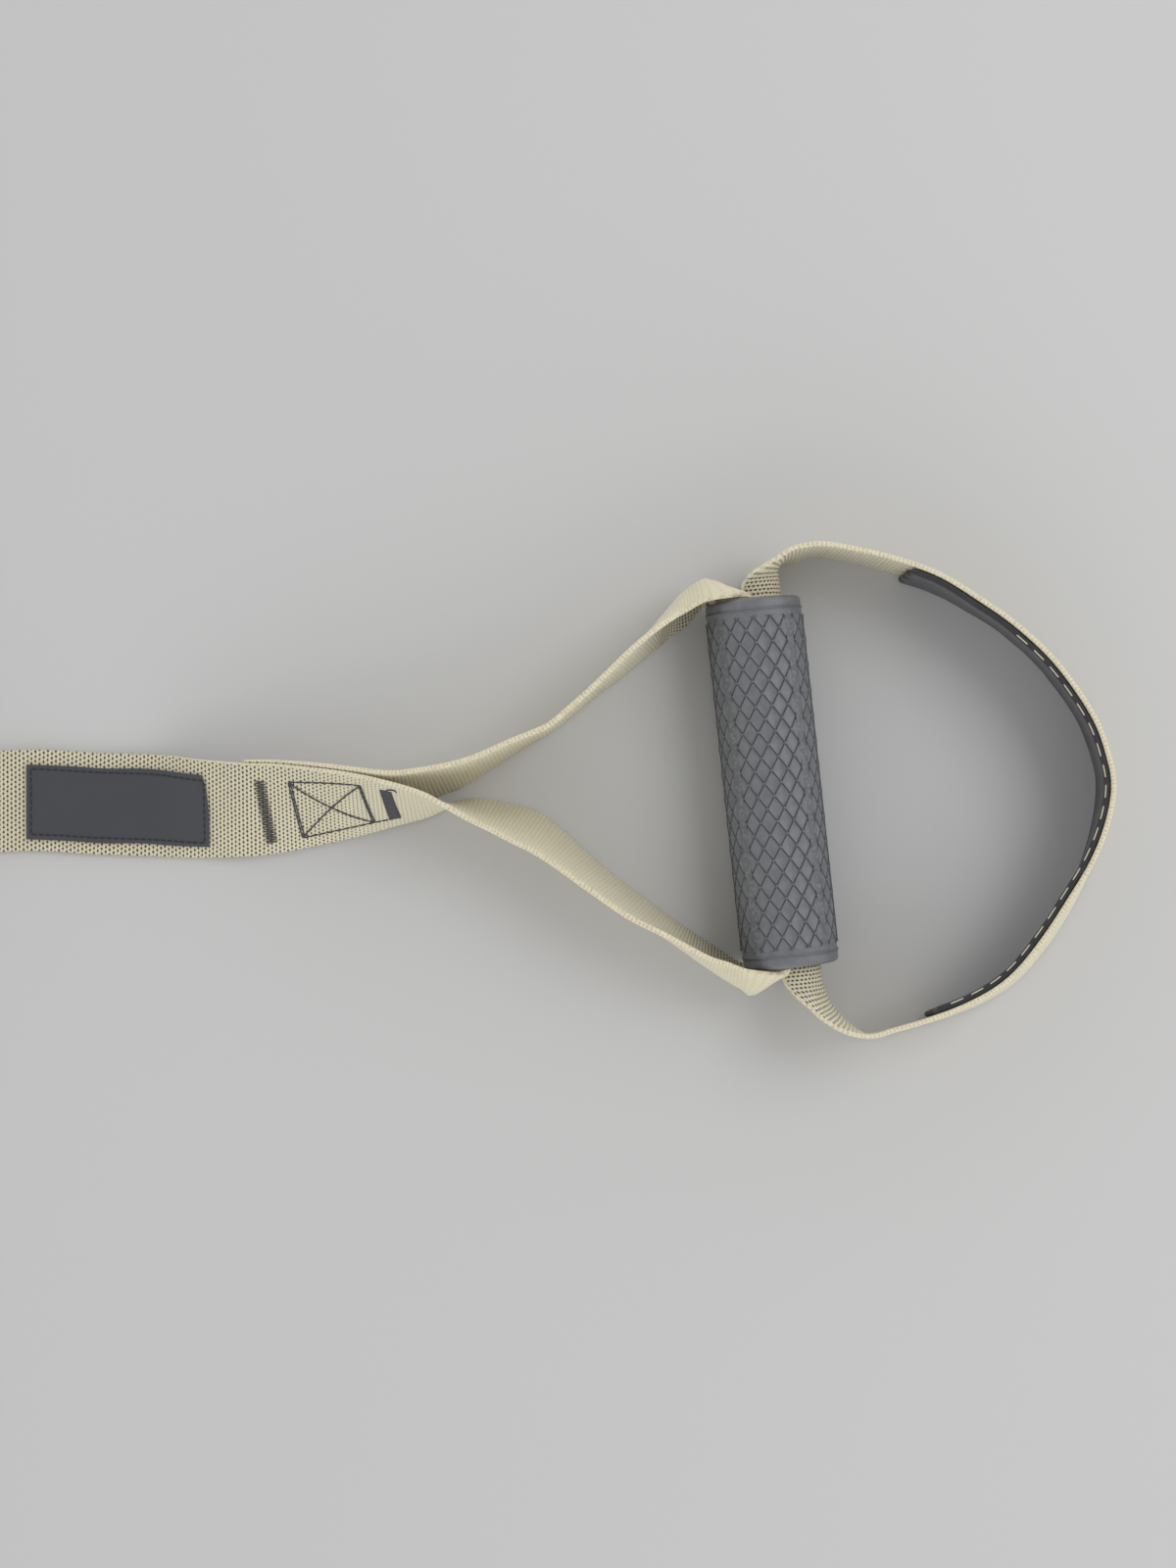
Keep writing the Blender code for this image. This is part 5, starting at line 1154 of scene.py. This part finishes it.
def hank_path():
    right = -STRAP_VISIBLE - HANK_STANDOFF
    left = right - HANK_RUN
    pitch = WEBBING_THICKNESS + HANK_GAP
    base = TIE_THICKNESS + CLEARANCE + HALF_THICKNESS
    path = [(right, base)]
    for k in range(HANK_LAYERS - 1):
        leftward = k % 2 == 0
        turn_x = (left if leftward else right) + FOLD_WANDER_SHARES[k] * WEBBING_THICKNESS
        path.append(((right + left) / 2, base + pitch * k))
        path += half_turn(turn_x, base + pitch * k, pitch / 2, -1 if leftward else 1)
    top = base + pitch * (HANK_LAYERS - 1)
    return path + [((right + left) / 2, top), (left - pitch / 2, top)]


def path_strip(name, path, width):
    """Webbing whose width lies along Y and whose middle follows a path of (x, z) places."""
    lengths = [0.0]
    for (ax, az), (bx, bz) in zip(path, path[1:]):
        lengths.append(lengths[-1] + math.hypot(bx - ax, bz - az))
    last = len(path) - 1

    def place_of(u, v):
        x, z = path[round(u * last)]
        return Vector((x, LINE_Y + (0.5 - v) * width, z)) + TO_ROW

    strip = woven_sheet(name, last, FOLD_CELLS_ACROSS, width, lambda u: lengths[round(u * last)], place_of,
                        webbing_finishes, WEBBING_THICKNESS, FOLD_EDGE_ROUND)
    return strip, lengths[-1]


folds = hank_path()
strap_end = (-STRAP_VISIBLE, HALF_THICKNESS)
folded_path = ramp(strap_end, folds[0], 10)[:-1] + folds
folded_strap, folded_length = path_strip("folded_strap", folded_path, WEBBING_WIDTH)
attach(folded_strap, "strap")
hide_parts("strap_hank")

tail_end = BUCKLE_CENTRE - BUCKLE_LENGTH / 2 - TAIL_LENGTH
level_start = (folded_path[-1][0] - BUCKLE_STANDOFF + TRAVEL_IN, TAIL_LEVEL)
tail_path = ramp(folded_path[-1], level_start, 14) + half_turn(tail_end, TAIL_LEVEL, LAYER_STEP / 2, -1)
tail_path.append((tail_end + TAIL_FOLD, TAIL_LEVEL + LAYER_STEP))
tail_strap, tail_strap_length = path_strip("tail_strap", tail_path, WEBBING_WIDTH)
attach(tail_strap, "strap")
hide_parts("strap_tail")

# Band round the folds.
# A wide black woven band, closed on itself, that keeps the folded length together.
TIE_PITCHES = (0.9, 1.1)
TIE_BUMP = 0.0001
TIE_EDGE_ROUND = 0.0003
# The third colour is painted shade in the weave's gaps.
tie_finish = webbing_finish("tie_weave", (0.040, 0.040, 0.045), (0.030, 0.030, 0.034), (0.012, 0.012, 0.014),
                            *TIE_PITCHES, TIE_BUMP)


def box_mapped(node, name, finish, edge_round, angle=40):
    """Merged copy of a CAD node with rounded edges, mapped in millimetres along X and round YZ."""
    bm = bmesh.new()
    bm.from_mesh(frame["nodes"][node].data)
    bmesh.ops.remove_doubles(bm, verts=bm.verts[:], dist=MERGE_DISTANCE)
    bmesh.ops.dissolve_limit(bm, angle_limit=math.radians(2), verts=bm.verts[:], edges=bm.edges[:])
    weave_map = bm.loops.layers.uv.new("weave_mm")
    for face in bm.faces:
        flat = abs(face.normal.z) > 0.5
        for loop in face.loops:
            spot = loop.vert.co
            loop[weave_map].uv = (spot.x * MM_PER_M, (spot.y if flat else spot.z) * MM_PER_M)
    item = finished_mesh(name, bm, [finish])
    round_edges(item, edge_round, angle).harden_normals = True
    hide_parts(node)
    return item


fold_band = box_mapped("hank_tie", "fold_band", tie_finish, TIE_EDGE_ROUND)
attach(fold_band, "strap")

# Cam buckle.
# Pressed and plated steel: a frame with two side walls, a toothed cam with a thumb lever on a rivet,
# and a coil spring round the rivet that holds the teeth on the webbing.
WALL_EDGE_ROUND = 0.0005
CAM_EDGE_ROUND = 0.0003


def scratches_group():
    """Fine handling marks: a shade mask from drawn out noise, and a plain grain."""
    group, given, made = new_group("handling_marks", ("Place", "Scale"), ("Marks", "Grain"))
    marks = noise_value(group, drawn_out(group, given["Place"], 0.08), given["Scale"], 4.0)
    grain = noise_value(group, given["Place"], given["Scale"], 4.0)
    feed(group, made, {"Marks": smooth_step(group, marks, 0.52, 0.72), "Grain": grain})
    return group


marks_group = scratches_group()


def metal_finish(name, colour, worn, roughness, scale=400.0):
    finish = new_finish(name, colour, roughness, 1.0)
    tree = finish.node_tree
    values = {"Place": object_place(tree), "Scale": scale}
    marks = fed_node(tree, "ShaderNodeGroup", values, node_tree=marks_group).outputs
    return dress(finish, colour_mix(tree, marks["Marks"], colour, worn), marks["Grain"], 0.15, 0.0001,
                 smooth_step(tree, marks["Grain"], 0.3, 0.7, roughness - 0.08, roughness + 0.1))


zinc_finish = metal_finish("zinc_plate", (0.50, 0.51, 0.53), (0.57, 0.58, 0.60), 0.36)
frame_copy = box_mapped("buckle_frame", "buckle_walls", zinc_finish, WALL_EDGE_ROUND)
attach(frame_copy, "buckle")
cam_copy = box_mapped("buckle_cam", "cam_and_lever", zinc_finish, CAM_EDGE_ROUND)
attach(cam_copy, "cam")
wire_finish = metal_finish("spring_wire", (0.42, 0.42, 0.44), (0.55, 0.55, 0.57), 0.3)
refinish("cam_pin", zinc_finish)
refinish("cam_spring", wire_finish)

# Anchor loop.
# A short loop of 25 mm webbing that joins buckle and carabiner: two layers sewn flat with an eye for
# the carabiner's bow.
ANCHOR_WIDTH = 0.025
ANCHOR_LENGTH = 0.084
BAR_RADIUS = 0.004
BOW_RADIUS = 0.026
BUCKLE_WALL = 0.0020
BAR_REACH_SHARE = 0.11
EYE_STEPS = 20
EYE_START, EYE_TURN = 62, 208  # degrees
EYE_LEAD_SHARES = ((3.4, 0.0), (2.4, 0.08), (1.5, 0.55))  # before the eye and above the layer, of its radius
half_buckle = BUCKLE_LENGTH / 2
bow_slope = math.asin(ANCHOR_WIDTH / 2 / BOW_RADIUS)
bow_sagitta = BOW_RADIUS * (1 - math.cos(bow_slope))
eye_radius = (BAR_RADIUS * (1 + 1 / math.cos(bow_slope)) + bow_sagitta) / 2 + CLEARANCE * 1.5 + HALF_THICKNESS
eye_x = BUCKLE_CENTRE - half_buckle + BUCKLE_WALL - ANCHOR_LENGTH
eye_z = HALF_THICKNESS + eye_radius


def anchor_path():
    reach = half_buckle * BAR_REACH_SHARE
    bar_middle = BUCKLE_CENTRE - half_buckle + BUCKLE_WALL / 2 + reach
    fold = PLATE_THICKNESS / 2 + CLEARANCE + HALF_THICKNESS
    bar_z = WEBBING_THICKNESS + CLEARANCE + PLATE_THICKNESS / 2
    top = HALF_THICKNESS + LAYER_STEP
    path = half_turn(bar_middle + reach, bar_z - fold, fold, 1)
    path.append((bar_middle - reach * 2, bar_z + fold))
    path += ramp((bar_middle - reach * 3, bar_z + fold), (bar_middle - reach * 6, top), 6)[1:]
    path += [(eye_x + eye_radius * before, top + eye_radius * above) for before, above in EYE_LEAD_SHARES]
    for step in range(EYE_STEPS + 1):
        angle = math.radians(EYE_START + EYE_TURN * step / EYE_STEPS)
        path.append((eye_x + eye_radius * math.cos(angle), eye_z + eye_radius * math.sin(angle)))
    path.append((bar_middle - reach * 4, HALF_THICKNESS))
    return path + path[:1]


anchor_loop, anchor_length = path_strip("anchor_loop", anchor_path(), ANCHOR_WIDTH)
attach(anchor_loop, "buckle")
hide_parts("anchor_webbing")

# Carabiner.
# Forged and anodised alloy ring with a gate on a rivet. A small spring holds the gate shut against
# the ring's nose until a thumb pushes it in.
ALLOY_EDGE_ROUND = 0.0002
alloy_finish = metal_finish("anodised_alloy", (0.33, 0.34, 0.36), (0.42, 0.43, 0.45), 0.33, 500.0)
gate_finish = metal_finish("gate_alloy", (0.50, 0.51, 0.53), (0.58, 0.59, 0.61), 0.28, 500.0)
ring_copy = box_mapped("carabiner_body", "carabiner_ring", alloy_finish, ALLOY_EDGE_ROUND, angle=50)
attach(ring_copy, "carabiner")
gate_copy = box_mapped("carabiner_gate", "carabiner_lever", gate_finish, ALLOY_EDGE_ROUND, angle=50)
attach(gate_copy, "gate")
refinish("gate_pin", zinc_finish)
refinish("gate_spring", wire_finish)
